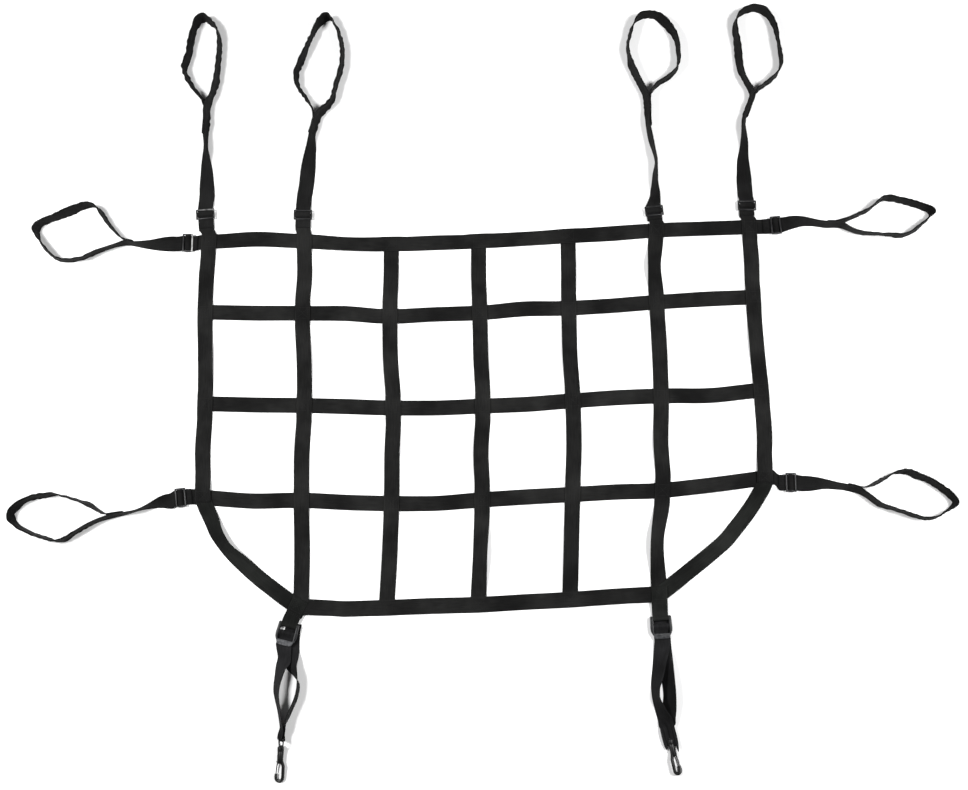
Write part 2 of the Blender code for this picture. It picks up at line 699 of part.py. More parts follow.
def loop_stations(name):
    """Stations of one loop strap, from its free end in the slide to its sewn end."""
    table = LOOPS[name]
    x, y = table["start"]
    turn = table["turn"]
    axis = heading(90 * round(SLIDES[name][2] / 90))
    side = right_of(axis)
    last_stem = len(table["stem"]) - 1
    rows = []
    for index, (out, across, roll) in enumerate(smoothed(table["stem"] + table["round"], 2)):
        spot = Vector((x, y, 0)) + axis * out + side * across
        height = resting_z(roll)
        if index < 2 * last_stem:
            drop = max(0, 1 - (out - DESCENT_START) / DESCENT)
            height += (LOOP_EXIT_Z - HALF_THICKNESS) * drop
        rows.append((spot.x, spot.y, height, roll, STRAP_WIDTH))
    walked = stations_on_plan(rows, turn)
    tail = sewn_tail(walked[2 * table["tail_row"] : 2 * last_stem + 1], turn)
    return loop_thread(name, turn) + walked + tail


def sewn_tail(stem, turn):
    """The end of a loop strap, laid against the inner face of its own stem."""
    stations = []
    for index, (centre, across, width) in enumerate(stem):
        before = stem[max(index - 1, 0)][0]
        after = stem[min(index + 1, len(stem) - 1)][0]
        face = (after - before).cross(across).normalized()
        centre = centre - face * turn * PLY
        lowest = centre.z - HALF_WIDTH * abs(across.z) - HALF_THICKNESS * abs(face.z)
        centre += across * max(0, -lowest) / across.z
        stations.append((centre, across, width))
    return stations[::-1]


def slide_mesh():
    """The slide's frame with its window cut through, and its round middle bar."""
    frame = bmesh.new()
    bmesh.ops.create_cube(frame, size=1)
    size = (SLIDE_LENGTH, SLIDE_WIDTH, SLIDE_THICKNESS)
    bmesh.ops.scale(frame, vec=size, verts=frame.verts)
    frame_object = add_mesh_object("slide_frame", frame, None, cutters)
    window = bmesh.new()
    bmesh.ops.create_cube(window, size=1)
    size = (SLIDE_WINDOW_LENGTH, SLIDE_WINDOW_WIDTH, 3 * SLIDE_THICKNESS)
    bmesh.ops.scale(window, vec=size, verts=window.verts)
    combine(frame_object, add_mesh_object("slide_window", window, None, cutters), "DIFFERENCE")
    edges = frame_object.modifiers.new("rounding", "BEVEL")
    edges.width = SLIDE_ROUNDING * MM
    edges.segments = 2
    edges.limit_method = "ANGLE"
    bar = bmesh.new()
    length = SLIDE_WINDOW_WIDTH + 2
    add_cylinder(bar, SLIDE_BAR_RADIUS, length, Matrix.Rotation(math.pi / 2, 4, "X"), 10)
    combine(frame_object, add_mesh_object("slide_bar", bar, None, cutters), "UNION")
    hide_helper(frame_object)
    return settled_mesh(frame_object, "slide")


def add_cylinder(shape, radius, length, placing, segments=16):
    bmesh.ops.create_cone(
        shape, cap_ends=True, segments=segments, radius1=radius, radius2=radius,
        depth=length, matrix=placing,
    )


def make_loops_and_slides():
    mesh = slide_mesh()
    mesh.materials.clear()
    mesh.materials.append(materials["slide_plastic"])
    for name, (x, y, angle, _, _) in SLIDES.items():
        slide = add_object("slide_" + name, mesh, "slide_plastic")
        slide.location = Vector((x, y, SLIDE_BAR_Z)) * MM
        slide.rotation_euler = (0, 0, math.radians(angle))
        add_strap("loop_" + name, loop_stations(name), "loop_webbing")


# --- Ladder locks and hook straps ----------------------------------------------------


def block(name, low, high):
    """A box between two corners, among the helpers."""
    shape = bmesh.new()
    bmesh.ops.create_cube(shape, size=1)
    size = Vector(high) - Vector(low)
    bmesh.ops.scale(shape, vec=size, verts=shape.verts)
    bmesh.ops.translate(shape, vec=Vector(low) + size / 2, verts=shape.verts)
    return add_mesh_object(name, shape, None, cutters)


def lock_mesh():
    """A ladder lock, with X along it from its top edge, Y across it and Z up."""
    outline = [(along, half) for along, half in LOCK_OUTLINE]
    outline += [(along, -half) for along, half in reversed(LOCK_OUTLINE)]
    plate = bmesh.new()
    plate.faces.new([plate.verts.new((x, y, LOCK_BOTTOM)) for x, y in outline])
    body = add_mesh_object("lock_body", plate, None, cutters)
    thick = body.modifiers.new("thickness", "SOLIDIFY")
    thick.thickness = (LOCK_TOP - LOCK_BOTTOM) * MM
    thick.offset = -1
    edges = body.modifiers.new("rounding", "BEVEL")
    edges.width = LOCK_ROUNDING * MM
    edges.segments = 2
    edges.limit_method = "ANGLE"
    edges.angle_limit = math.radians(60)
    inner = LOCK_WINDOW_HALF_WIDTH
    cuts = (  # start, end, half width, bottom, top
        ("lock_window", -2, LOCK_WINDOW_END, inner, LOCK_BOTTOM - 1, LOCK_TOP + 1),
        ("lock_passage", LOCK_PASSAGE_START, LOCK_RAIL_END, inner, LOCK_BOTTOM - 1, LOCK_LIP_BOTTOM),
        (
            "lock_mouth", LOCK_RAIL_END - 0.5, LOCK_LENGTH + 1,
            LOCK_MOUTH_HALF_WIDTH, LOCK_BOTTOM - 1, LOCK_LIP_BOTTOM,
        ),
    )
    for name, start, end, half, bottom, top in cuts:
        combine(body, block(name, (start, -half, bottom), (end, half, top)), "DIFFERENCE")
    for along, z in (LOCK_TAB_BAR, LOCK_STRAP_BAR):
        bar = bmesh.new()
        placing = Matrix.Translation((along, 0, z)) @ Matrix.Rotation(math.pi / 2, 4, "X")
        add_cylinder(bar, LOCK_BAR_RADIUS, 2 * inner + 3, placing, 14)
        combine(body, add_mesh_object("lock_bar", bar, None, cutters), "UNION")
    hide_helper(body)
    return settled_mesh(body, "ladder_lock")


def lock_tab_stations(side):
    """The tab: from over the corner, down round the lock's first bar, and back under it."""
    x, y, angle = LOCKS[side]
    direction = heading(angle)
    radius = LOCK_BAR_RADIUS + GAP + HALF_THICKNESS
    end_x, end_y, clear, foot_layer = LOCK_TABS[side]
    foot = (LOCK_TAB_FOOT, layer_z(foot_layer))
    points = [foot] + arc(LOCK_TAB_BAR, radius, tangent_angle(foot, LOCK_TAB_BAR, radius), -90)
    points += LOCK_TAB_RETURN
    across = left_of(direction)
    thread = stations_on_profile(points, (x, y), direction, across)
    end = Vector((end_x, end_y, 0))
    start = Vector((x, y, 0)) + direction * LOCK_TAB_FOOT
    back = (start - end).normalized()
    over = [(-TUCK, TOP_LAYER), (clear, TOP_LAYER)]
    landed, lifted = LOCK_TAB_LIFT
    under = [(lifted, SECOND_LAYER), (landed, BOTTOM_LAYER), (-TUCK / 2, BOTTOM_LAYER)]
    plies = [
        [(end + back * along + UP * layer_z(layer), left_of(back), STRAP_WIDTH) for along, layer in ply]
        for ply in (over, under)
    ]
    return plies[0] + thread + plies[1]


def lock_strap_profile():
    """A hook strap's end in the lock: under the lip, over the locking bar, and back."""
    radius = LOCK_BAR_RADIUS + GAP + HALF_THICKNESS
    foot = (LOCK_STRAP_FOOT, layer_z(THIRD_LAYER))
    points = [(LOCK_LENGTH + 1, foot[1]), foot]
    points += arc(LOCK_STRAP_BAR, radius, tangent_angle(foot, LOCK_STRAP_BAR, radius), 270)
    points += LOCK_STRAP_RETURN
    return points + [(LOCK_LENGTH + 2, layer_z(SECOND_LAYER))]


def hook_frame(side, roll):
    """A hook's placing: X along it, Y across it, Z square to it, rolled about its length."""
    x, y, z, angle, slope = HOOKS[side][:5]
    return (
        Matrix.Translation((x, y, z))
        @ Matrix.Rotation(math.radians(angle), 4, "Z")
        @ Matrix.Rotation(math.radians(slope), 4, "Y")
        @ Matrix.Rotation(math.radians(roll), 4, "X")
    )


def eye_wrap_stations(side):
    """The gathered strap round the bar of the hook's eye, from the rear ply to the front."""
    placing = hook_frame(side, HOOKS[side][5])
    radius = EYE_WIRE_RADIUS + GAP + HALF_THICKNESS
    across = (placing.to_3x3() @ Vector((0, 1, 0))).normalized()
    points = [*WRAP_REAR, *arc((0.0, 0.0), radius, -90, 90), *WRAP_FRONT]
    widths = [SPREAD_WIDTH] + [GATHERED_WIDTH] * (len(points) - 2) + [SPREAD_WIDTH]
    return [
        (placing @ Vector((along, 0, off)), across, width)
        for (along, off), width in zip(points, widths)
    ]


def hook_strap_stations(side):
    plies = {
        ply: [(x, y, resting_z(roll, width) + lift, roll, width) for x, y, roll, width, lift in rows]
        for ply, rows in HOOK_STRAPS[side].items()
    }
    x, y, angle = LOCKS[side]
    direction = heading(angle)
    end = stations_on_profile(lock_strap_profile(), (x, y), direction, left_of(direction))
    return (
        stations_on_plan(plies["rear"])
        + eye_wrap_stations(side)
        + stations_on_plan(plies["front"][::-1], -1)
        + end
    )


def make_locks_and_hook_straps():
    mesh = lock_mesh()
    mesh.materials.clear()
    mesh.materials.append(materials["lock_plastic"])
    for side, (x, y, angle) in LOCKS.items():
        lock = add_object("ladder_lock_" + side, mesh, "lock_plastic")
        lock.location = Vector((x, y, 0)) * MM
        lock.rotation_euler = (0, 0, math.radians(angle))
        add_strap("lock_tab_" + side, lock_tab_stations(side), "corner_webbing")
        add_strap("hook_strap_" + side, hook_strap_stations(side), "hook_strap_webbing")


# --- Snap hooks ----------------------------------------------------------------------


def tube(name, points, radius, cyclic=False, radii=None):
    """A round wire through points, made a welded mesh among the helpers."""
    curve = bpy.data.curves.new(name, "CURVE")
    curve.dimensions = "3D"
    curve.bevel_depth = radius * MM
    curve.bevel_resolution = 2
    curve.use_fill_caps = True
    spline = curve.splines.new("POLY")
    spline.points.add(len(points) - 1)
    for index, (along, side) in enumerate(points):
        spline.points[index].co = (along * MM, side * MM, 0, 1)
        if radii:
            spline.points[index].radius = radii[index] / radius
    spline.use_cyclic_u = cyclic
    guide = bpy.data.objects.new(name, curve)
    cutters.objects.link(guide)
    graph = bpy.context.evaluated_depsgraph_get()
    mesh = bpy.data.meshes.new_from_object(guide.evaluated_get(graph))
    bpy.data.objects.remove(guide)
    shape = bmesh.new()
    shape.from_mesh(mesh)
    bmesh.ops.remove_doubles(shape, verts=shape.verts, dist=1e-6)
    shape.to_mesh(mesh)
    shape.free()
    obj = bpy.data.objects.new(name, mesh)
    cutters.objects.link(obj)
    return obj


def rod(name, start, end, radius, segments=16):
    """A cylinder along X between two distances, among the helpers."""
    shape = bmesh.new()
    placing = Matrix.Translation(((start + end) / 2, 0, 0)) @ Matrix.Rotation(math.pi / 2, 4, "Y")
    add_cylinder(shape, radius, end - start, placing, segments)
    return add_mesh_object(name, shape, None, cutters)


def upright_rod(name, along, side, length, radius, segments=12):
    shape = bmesh.new()
    add_cylinder(shape, radius, length, Matrix.Translation((along, side, 0)), segments)
    return add_mesh_object(name, shape, None, cutters)


def eye_mesh():
    """The eye: a D of wire on a bored collar."""
    steps = 12
    turns = [math.pi * step / steps for step in range(steps + 1)]
    bow = [
        (EYE_LENGTH * abs(math.sin(turn)) ** EYE_SQUARENESS, EYE_HALF_WIDTH * math.cos(turn))
        for turn in turns
    ]
    wire = tube("eye_wire", bow, EYE_WIRE_RADIUS, cyclic=True)
    combine(wire, rod("eye_collar", COLLAR_START, COLLAR_END, COLLAR_RADIUS), "UNION")
    combine(wire, rod("eye_bore", COLLAR_START - 3, COLLAR_END + 3, COLLAR_BORE), "DIFFERENCE")
    hide_helper(wire)
    return settled_mesh(wire, "hook_eye")


def bend_points(gate_side):
    """The hook's body from its barrel, down its back, round the bend and up to its nose."""
    back = -gate_side * BEND_HALF_WIDTH
    points = [(BARREL_END - 4, back * 0.45), (BARREL_END + 1, back * 0.75), (BARREL_END + 5, back)]
    points += [(BEND_MIDDLE - 8, back)]
    steps = 8
    for step in range(steps + 1):
        angle = math.pi * step / steps
        points.append(
            (BEND_MIDDLE + BEND_HALF_WIDTH * math.sin(angle), back * math.cos(angle))
        )
    return points + [(NOSE_END, -back)]


def hook_mesh(gate_side):
    """The hook: headed stem, barrel, bend and nose, with a slot and pin for the gate."""
    points = bend_points(gate_side)
    radii = [BODY_RADIUS] * (len(points) - 2) + [(BODY_RADIUS + NOSE_RADIUS) / 2, NOSE_RADIUS]
    body = tube("hook_bend", points, BODY_RADIUS, radii=radii)
    combine(body, rod("hook_barrel", COLLAR_END + GAP, BARREL_END, BARREL_RADIUS), "UNION")
    combine(body, rod("hook_stem", HEAD_START + 1, COLLAR_END + 2, STEM_RADIUS, 12), "UNION")
    combine(body, rod("hook_head", HEAD_START, COLLAR_START - GAP, HEAD_RADIUS), "UNION")
    slot = bmesh.new()
    bmesh.ops.create_cube(slot, size=1)
    bmesh.ops.scale(slot, vec=(GATE_SLOT_SIZE, GATE_SLOT_SIZE, GATE_SLOT), verts=slot.verts)
    aside = gate_side * (GATE_PIVOT_SIDE + GATE_SLOT_OFFSET)
    offset = (GATE_PIVOT_ALONG + GATE_SLOT_OFFSET, aside, 0)
    bmesh.ops.translate(slot, vec=offset, verts=slot.verts)
    combine(body, add_mesh_object("gate_slot", slot, None, cutters), "DIFFERENCE")
    aside = gate_side * GATE_PIVOT_SIDE
    length = GATE_SLOT + PIVOT_PIN_ANCHOR
    pin = upright_rod("gate_pin", GATE_PIVOT_ALONG, aside, length, PIVOT_PIN_RADIUS)
    combine(body, pin, "UNION")
    hide_helper(body)
    return settled_mesh(body, "snap_hook")


def gate_mesh(gate_side):
    """The gate, about its own pivot: a bored knuckle and an arm to the nose."""
    reach = NOSE_END - GAP - GATE_PIVOT_ALONG
    drift = gate_side * (BEND_HALF_WIDTH - GATE_PIVOT_SIDE)
    arm = tube("gate_arm", [(1.6, drift * 0.1), (reach * 0.4, drift * 0.7), (reach, drift)], GATE_RADIUS)
    combine(arm, upright_rod("gate_knuckle", 0, 0, GATE_THICKNESS, GATE_KNUCKLE_RADIUS), "UNION")
    combine(arm, upright_rod("gate_bore", 0, 0, 3 * GATE_THICKNESS, GATE_KNUCKLE_BORE), "DIFFERENCE")
    hide_helper(arm)
    return settled_mesh(arm, "hook_gate")


def make_hooks():
    eye = eye_mesh()
    for side, (*_, eye_roll, hook_roll, gate_side) in HOOKS.items():
        for name, mesh, finish in (
            ("hook_eye_", eye, "hook_metal"),
            ("snap_hook_", hook_mesh(gate_side), "hook_metal"),
            ("hook_gate_", gate_mesh(gate_side), "gate_metal"),
        ):
            mesh.materials.clear()
            mesh.materials.append(materials[finish])
            obj = add_object(name + side, mesh, finish)
            placing = hook_frame(side, eye_roll if name == "hook_eye_" else hook_roll)
            if name == "hook_gate_":
                pivot = (GATE_PIVOT_ALONG, gate_side * GATE_PIVOT_SIDE, 0)
                placing = placing @ Matrix.Translation(pivot)
            placing.translation = placing.translation * MM
            obj.matrix_world = placing


def stand_on_origin():
    """Puts the middle of the underside of the whole net at the origin."""
    bpy.context.view_layer.update()
    graph = bpy.context.evaluated_depsgraph_get()
    corners = []
    for obj in parts.objects:
        evaluated = obj.evaluated_get(graph)
        mesh = evaluated.to_mesh()
        corners += [evaluated.matrix_world @ vertex.co for vertex in mesh.vertices]
        evaluated.to_mesh_clear()
    lowest = Vector(min(corner[axis] for corner in corners) for axis in range(3))
    highest = Vector(max(corner[axis] for corner in corners) for axis in range(3))
    middle = (lowest + highest) / 2
    shift = Matrix.Translation((-middle.x, -middle.y, -lowest.z))
    for obj in parts.objects:
        obj.matrix_world = shift @ obj.matrix_world


clear_scene()
parts = new_collection("cargo_net")
cutters = new_collection("cutters")
materials = {name: make_material(name) for name in FINISHES}
make_net_straps()
make_corner_straps()
make_loops_and_slides()
make_locks_and_hook_straps()
make_hooks()
stand_on_origin()
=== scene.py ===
"""The looks of a black webbing cargo net, laid out on a white floor.

Every strap is woven again as thin, soft webbing along the line of its solid, with its
selvedges, ripples and creases. Thread is stitched where straps are sewn. The slides, ladder
locks and snap hooks keep their solids and get moulded or cast finishes.
"""

import json
import math

import bmesh
import bpy
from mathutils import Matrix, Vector, noise


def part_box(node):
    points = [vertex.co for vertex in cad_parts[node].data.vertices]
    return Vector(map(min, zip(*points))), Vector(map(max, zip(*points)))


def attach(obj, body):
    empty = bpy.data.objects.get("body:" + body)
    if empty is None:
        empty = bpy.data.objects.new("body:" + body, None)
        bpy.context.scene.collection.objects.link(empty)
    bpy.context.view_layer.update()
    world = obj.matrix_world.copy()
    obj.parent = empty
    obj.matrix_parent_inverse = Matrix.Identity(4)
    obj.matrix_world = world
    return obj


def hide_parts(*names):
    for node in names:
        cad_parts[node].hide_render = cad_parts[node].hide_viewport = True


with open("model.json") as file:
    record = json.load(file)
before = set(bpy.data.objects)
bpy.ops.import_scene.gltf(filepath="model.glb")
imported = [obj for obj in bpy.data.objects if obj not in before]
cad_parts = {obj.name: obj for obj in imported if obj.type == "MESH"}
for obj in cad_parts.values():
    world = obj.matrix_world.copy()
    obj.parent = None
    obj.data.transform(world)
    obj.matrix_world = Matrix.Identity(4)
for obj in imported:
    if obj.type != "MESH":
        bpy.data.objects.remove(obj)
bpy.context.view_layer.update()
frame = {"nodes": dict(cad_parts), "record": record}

MM = 0.001
FLAT = Vector((1, 1, 0))  # times a vector, it leaves out the height
FULL_TURN = 2 * math.pi
WELD_REACH = 0.02 * MM

# Webbing
STRAP_WIDTH = 25 * MM
HALF_THICKNESS = 0.7 * MM
SECTION_STEP = 4.5 * MM  # between two sections along a strap
LOOP_STEP = 2.0 * MM  # a loop's puckers need more sections
SECTION = (  # across from -1 to 1, share of the half thickness
    (-1.025, 0.55), (-0.95, 0.98), (-0.6, 1.0), (-0.3, 0.93), (0.0, 0.97), (0.3, 0.93),
    (0.6, 1.0), (0.95, 0.98), (1.025, 0.55),
)

# How each kind of strap ripples: how far its edges wave, and how far it cups across
RIPPLES = {
    "strap_": (0.35 * MM, 0.35 * MM),
    "loop_": (0.75 * MM, 0.7 * MM),
    "lock_tab_": (0.2 * MM, 0.1 * MM),
    "hook_strap_": (0.45 * MM, 0.5 * MM),
}
RIPPLE_GAIN = 1.6  # because the noise seldom comes near 1
RIPPLE_LENGTH = 34 * MM
CUPPING_LENGTH = 60 * MM
SEEDS_APART = 7.31  # between two straps' rows of the noise
NOISE_LAYER = 0.37

# The puckers along a loop's edges
PUCKER_LENGTH = 17 * MM
PUCKER_WAVE = 0.95 * MM  # how far they swing to and fro
PUCKER_DRIFT = 9  # radians, how unevenly they are spaced
PUCKER_DRIFT_LENGTH = 34 * MM
EDGES_OUT_OF_STEP = 2.4  # radians, one edge's puckers after the other's
PUCKER_DEPTH = (0.5, 1.6)  # of the wave: the least, and how much deeper they may be
PUCKER_DEPTH_LENGTH = 24 * MM
PUCKER_FULLNESS = 1.15 * MM
FULLNESS_CHANGE = 0.9
FULLNESS_LENGTH = 9 * MM
PUCKERED = {"loop_top_1": 0.85, "loop_top_2": 0.85}  # how strongly each loop is puckered
LESS_PUCKERED = 0.5  # the other loops
PUCKERS_FROM = 165 * MM  # how far from its slide a loop's puckers begin
PUCKERS_TO = 30 * MM  # and how far before its sewn end they stop
PUCKER_FADE = 30 * MM

# Where a hook strap is gathered round its eye
GATHER_REACH = 26 * MM
GATHER_DEPTH = 1.5 * MM  # of its folds
GATHER_FADE = 1.5  # the power by which the folds grow towards the bar
GATHER_WAVE = 3.2 * math.pi  # radians of folds, from the middle to an edge
GATHER_DRIFT = 6  # radians, how far the folds lean along their length
WRAP_START, WRAP_DEPTH = -1 * MM, 3.3 * MM  # past the bar's middle, where the bulges begin
LOBE_PLACE, LOBE_WIDTH = 0.7, 0.42  # of the bulges, across from 0 to 1
LOBE_POWER = 4
CRUMPLE = (0.8, 0.5)  # of the bulges' reach: the middle, and how much it changes
CRUMPLE_WIDTH = 0.35  # across, from 0 to 1
# How the strap bulges past each eye's bar: middle, edges, and how much wider it bunches
BULGES = {"left": (0.3 * MM, 0.8 * MM, 0.1), "right": (18 * MM, 29 * MM, 0.6)}

# Thread
THREAD_RADIUS = 0.36 * MM
STITCH_LENGTH = 2.5 * MM
STITCH_PITCH = 2.9 * MM
SEAM_STEP = 1.0 * MM  # between the points of a seam's path
BOX_REACH = 9.0 * MM  # half the side of a box stitch
CROSSING_REACH = 9 * MM  # how near two straps' middles are where they cross
TAIL_SEAM = (5 * MM, 30 * MM)  # from a loop's sewn end
STEM_SHARE = 0.4  # of a loop strap, within which its stem lies
ROW_GAP = 2.2 * MM
ROW_MARGIN = 2.5 * MM  # from a row's ends to the strap's edges
FREE_END_ROWS = (2.5 * MM, 4)  # from a loop's free end, and how many
TAB_BOX = 13 * MM  # from a lock tab's sewn end to the middle of its box
TAB_ROWS = (26 * MM, 2)
THREAD_RISE = 0.35  # of its radius, how far the thread's middle stands off the webbing
STITCH_SIDES, STITCH_RINGS = 6, 5

# The camera, from where the photograph was taken
FOCAL_PIXELS = 1300.0
PHOTO_WIDTH = 968
SENSOR = 36.0  # the camera's own millimetres
CAMERA_TILT = math.radians(9)
CAMERA_DISTANCE = 2.1667  # a pixel of the photograph is then 1.667 mm at the net's middle
NET_MIDDLE = Vector((2.122, -28.839, 0.102)) * MM
CENTRE_SHIFT = 0.5  # pixels right and down
LENS_REACH = 30

# Each ladder lock: its top edge's middle as measured from the middle of the net, the way to
# its hook, and how strong the painted highlight on its lip is
LOCKS = {
    "left": (-315 * MM, -373.5 * MM, math.radians(255.5), 1.0),
    "right": (284.7 * MM, -362.3 * MM, math.radians(273.7), 0.5),
}
# Where the painted highlight on a lock's lip starts, and how far it fades in
LIP_START = 25 * MM  # from the lock's top edge
LIP_FADE = 5 * MM
# Slides with one rail painted bright as a painted highlight: which way the rail lies, and how bright
# it is
SLIDE_HIGHLIGHTS = {"slide_left_1": ((1, 0, 0), 1.0), "slide_top_1": ((0, 1, 0), 0.3)}
# Where the painted highlight on a slide's rail starts, and how far it fades in
RAIL_START = 5.5 * MM  # from the slide's middle
RAIL_FADE = 1.5 * MM

# Light
SOFTBOX_PLACE = (1.6, 0.1, 2.2)  # out to each side, up the net, above the floor
SOFTBOX_AIM = (0.5, 0.0, 0)
SOFTBOX_SIZE = 0.62
SOFTBOX_SPREAD = math.radians(100)
LEFT_POWER, RIGHT_POWER = 30, 26.5
OVERHEAD_PLACE = (0, -0.1, 3.4)
OVERHEAD_SIZE = 2.2
OVERHEAD_POWER = 4
WORLD_STRENGTH = 0.04
FLOOR_REACH = 6
FLOOR_WHITE = (0.9, 0.9, 0.9)

# The weave
COLUMN_PITCH = 1.55 * MM  # across the strap
PICK_PITCH = 1.25 * MM  # along it
RIB_LEAN = 1.3  # radians, how far the columns push the ribs along
SELVEDGE_START, SELVEDGE_FADE = 10.9 * MM, 0.9 * MM  # from the strap's middle
STREAK_STRETCH = 0.06  # how much slower the streaks change along than across
WEAVE_SCALES = {"cloud": 14.0, "streaks": 700.0, "fuzz": 1800.0}
WEAVE_TONES = {"cloud": 1.5, "streaks": 0.8, "weave": 0.07, "selvedge": 0.16, "fuzz": 0.12}
WEAVE_STOPS = (0.25, 0.95)
WEAVE_DEPTH = 0.12 * MM
TWIST_SCALE, TWIST_DEPTH = 2400.0, 0.08 * MM  # of the thread

# The mix node's sockets for colours
MIX_SHARE, MIX_FIRST, MIX_SECOND, MIX_RESULT = 0, 6, 7, 2

# Hard pieces
EDGE_RADII = {
    "slide_": 0.0, "ladder_lock_": 0.25 * MM, "hook_eye_": 0.2 * MM,
    "snap_hook_": 0.25 * MM, "hook_gate_": 0.2 * MM,
}
FLAT_ANGLE = math.radians(1.5)  # faces this nearly level are one face
EASED_ANGLE = math.radians(32)
SHARP_ANGLE = math.radians(38)
PLASTIC_GRAIN, PLASTIC_GRAIN_DEPTH = 2600.0, 0.05 * MM
SCUFF_SCALE = 210.0
CAST_GRAIN, CAST_GRAIN_DEPTH = 1500.0, 0.04 * MM
WEAR_SCALE = 330.0
WEAR_FADE = 0.14  # of the noise, from sound coat to worn


# --- Reading the solids --------------------------------------------------------------


def welded(node):
    """The node's mesh with its loose triangles joined at their corners."""
    shape = bmesh.new()
    shape.from_mesh(frame["nodes"][node].data)
    bmesh.ops.remove_doubles(shape, verts=shape.verts, dist=WELD_REACH)
    shape.verts.index_update()
    return shape


def solid_sections(node):
    """The two edges of a strap's solid at each of its sections, from end to end.

    Fewer edges meet at the corners of its two end faces than anywhere between them.
    """
    shape = welded(node)
    corners = sorted(
        (vert for vert in shape.verts if len(vert.link_edges) < 6), key=lambda vert: vert.index
    )
    first = corners[0]
    ring = [first] + [
        edge.other_vert(first) for edge in first.link_edges if edge.other_vert(first) in corners
    ]
    if len(ring) < 4:
        ring += [vert for vert in corners if vert not in ring and linked(vert, ring[1])]
    ring = ring[:4]
    seen = set(ring)
    sections = []
    while ring:
        sections.append(edge_pair([vert.co.copy() for vert in ring]))
        following = []
        for vert in ring:
            for edge in vert.link_edges:
                other = edge.other_vert(vert)
                if other not in seen:
                    seen.add(other)
                    following.append(other)
        ring = following
    shape.free()
    return sections


def linked(vert, other):
    """Whether an edge joins the two."""
    return any(edge.other_vert(vert) == other for edge in vert.link_edges)


def edge_pair(corners):
    """The middles of the two short sides of a section with four corners."""
    first = corners[0]
    near = min(corners[1:], key=lambda corner: (corner - first).length)
    far = [corner for corner in corners if corner is not first and corner is not near]
    return (first + near) / 2, (far[0] + far[1]) / 2


def strap_line(node, start):
    """Left and right edge of each section from the end near start, first upper side up."""
    sections = solid_sections(node)
    if (sections[-1][0] - start).length < (sections[0][0] - start).length:
        sections.reverse()
    line = [sections[0]]
    for left, right in sections[1:]:
        before = line[-1][0]
        if (right - before).length < (left - before).length:
            left, right = right, left
        line.append((left, right))
    run = sum(line[1], Vector()) - sum(line[0], Vector())
    if run.cross(line[0][1] - line[0][0]).z < 0:
        line = [(right, left) for left, right in line]
    return line


def hermite(before, start, end, after, spans, share):
    """A point on the smooth curve through four, with slopes by their spacing."""
    first, middle, last = spans
    leave = (end - before) * (middle / (first + middle))
    arrive = (after - start) * (middle / (middle + last))
    s2, s3 = share * share, share * share * share
    return (
        start * (2 * s3 - 3 * s2 + 1)
        + leave * (s3 - 2 * s2 + share)
        + end * (3 * s2 - 2 * s3)
        + arrive * (s3 - s2)
    )


def fine_line(line, section_step):
    """The strap's edges on smooth curves, with a section every few millimetres."""
    padded = [line[0]] + line + [line[-1]]
    middles = [(left + right) / 2 for left, right in padded]
    fine = []
    for index in range(1, len(padded) - 2):
        four = padded[index - 1 : index + 3]
        centres = middles[index - 1 : index + 3]
        spans = [max((b - a).length, 1e-6) for a, b in zip(centres, centres[1:])]
        steps = max(1, round(spans[1] / section_step))
        for step in range(steps):
            share = step / steps
            fine.append(
                tuple(hermite(*[pair[side] for pair in four], spans, share) for side in (0, 1))
            )
    return fine + [line[-1]]


# --- Webbing -------------------------------------------------------------------------


def soft_noise(along, length, seed):
    """From -1 to 1, changing over this length. Every use adds its own number to the seed."""
    return noise.noise(Vector((along / length, seed * SEEDS_APART, NOISE_LAYER)))


def edge_offset(node, along, total, edge, seed):
    """How far an edge of the webbing stands off its flat."""
    ripple = next(sizes[0] for start, sizes in RIPPLES.items() if node.startswith(start))
    offset = ripple * RIPPLE_GAIN * soft_noise(along, RIPPLE_LENGTH, seed + 11 * edge)
    strength = puckered(node, along, total)
    if strength:
        drift = PUCKER_DRIFT * soft_noise(along, PUCKER_DRIFT_LENGTH, seed + 3 * edge)
        drift += EDGES_OUT_OF_STEP * edge
        least, more = PUCKER_DEPTH
        depth = least + more * abs(soft_noise(along, PUCKER_DEPTH_LENGTH, seed + 5 + edge))
        swing = math.sin(FULL_TURN * along / PUCKER_LENGTH + drift)
        offset += strength * PUCKER_WAVE * depth * swing
    return offset


def puckered(node, along, total):
    """From 0 to 1, how much the webbing is puckered here. Only loops are."""
    if not node.startswith("loop_"):
        return 0
    strength = PUCKERED.get(node, LESS_PUCKERED)
    begun = min(1, max(0, (along - PUCKERS_FROM) / PUCKER_FADE))
    ended = min(1, max(0, (total - along - PUCKERS_TO) / PUCKER_FADE))
    return strength * begun * ended


def finer(section):
    """The section with a point between each two, twice over."""
    for _ in range(2):
        halves = [
            ((share + next_share) / 2, (thick + next_thick) / 2)
            for (share, thick), (next_share, next_thick) in zip(section, section[1:])
        ]
        section = tuple(sorted([*section, *halves]))
    return section


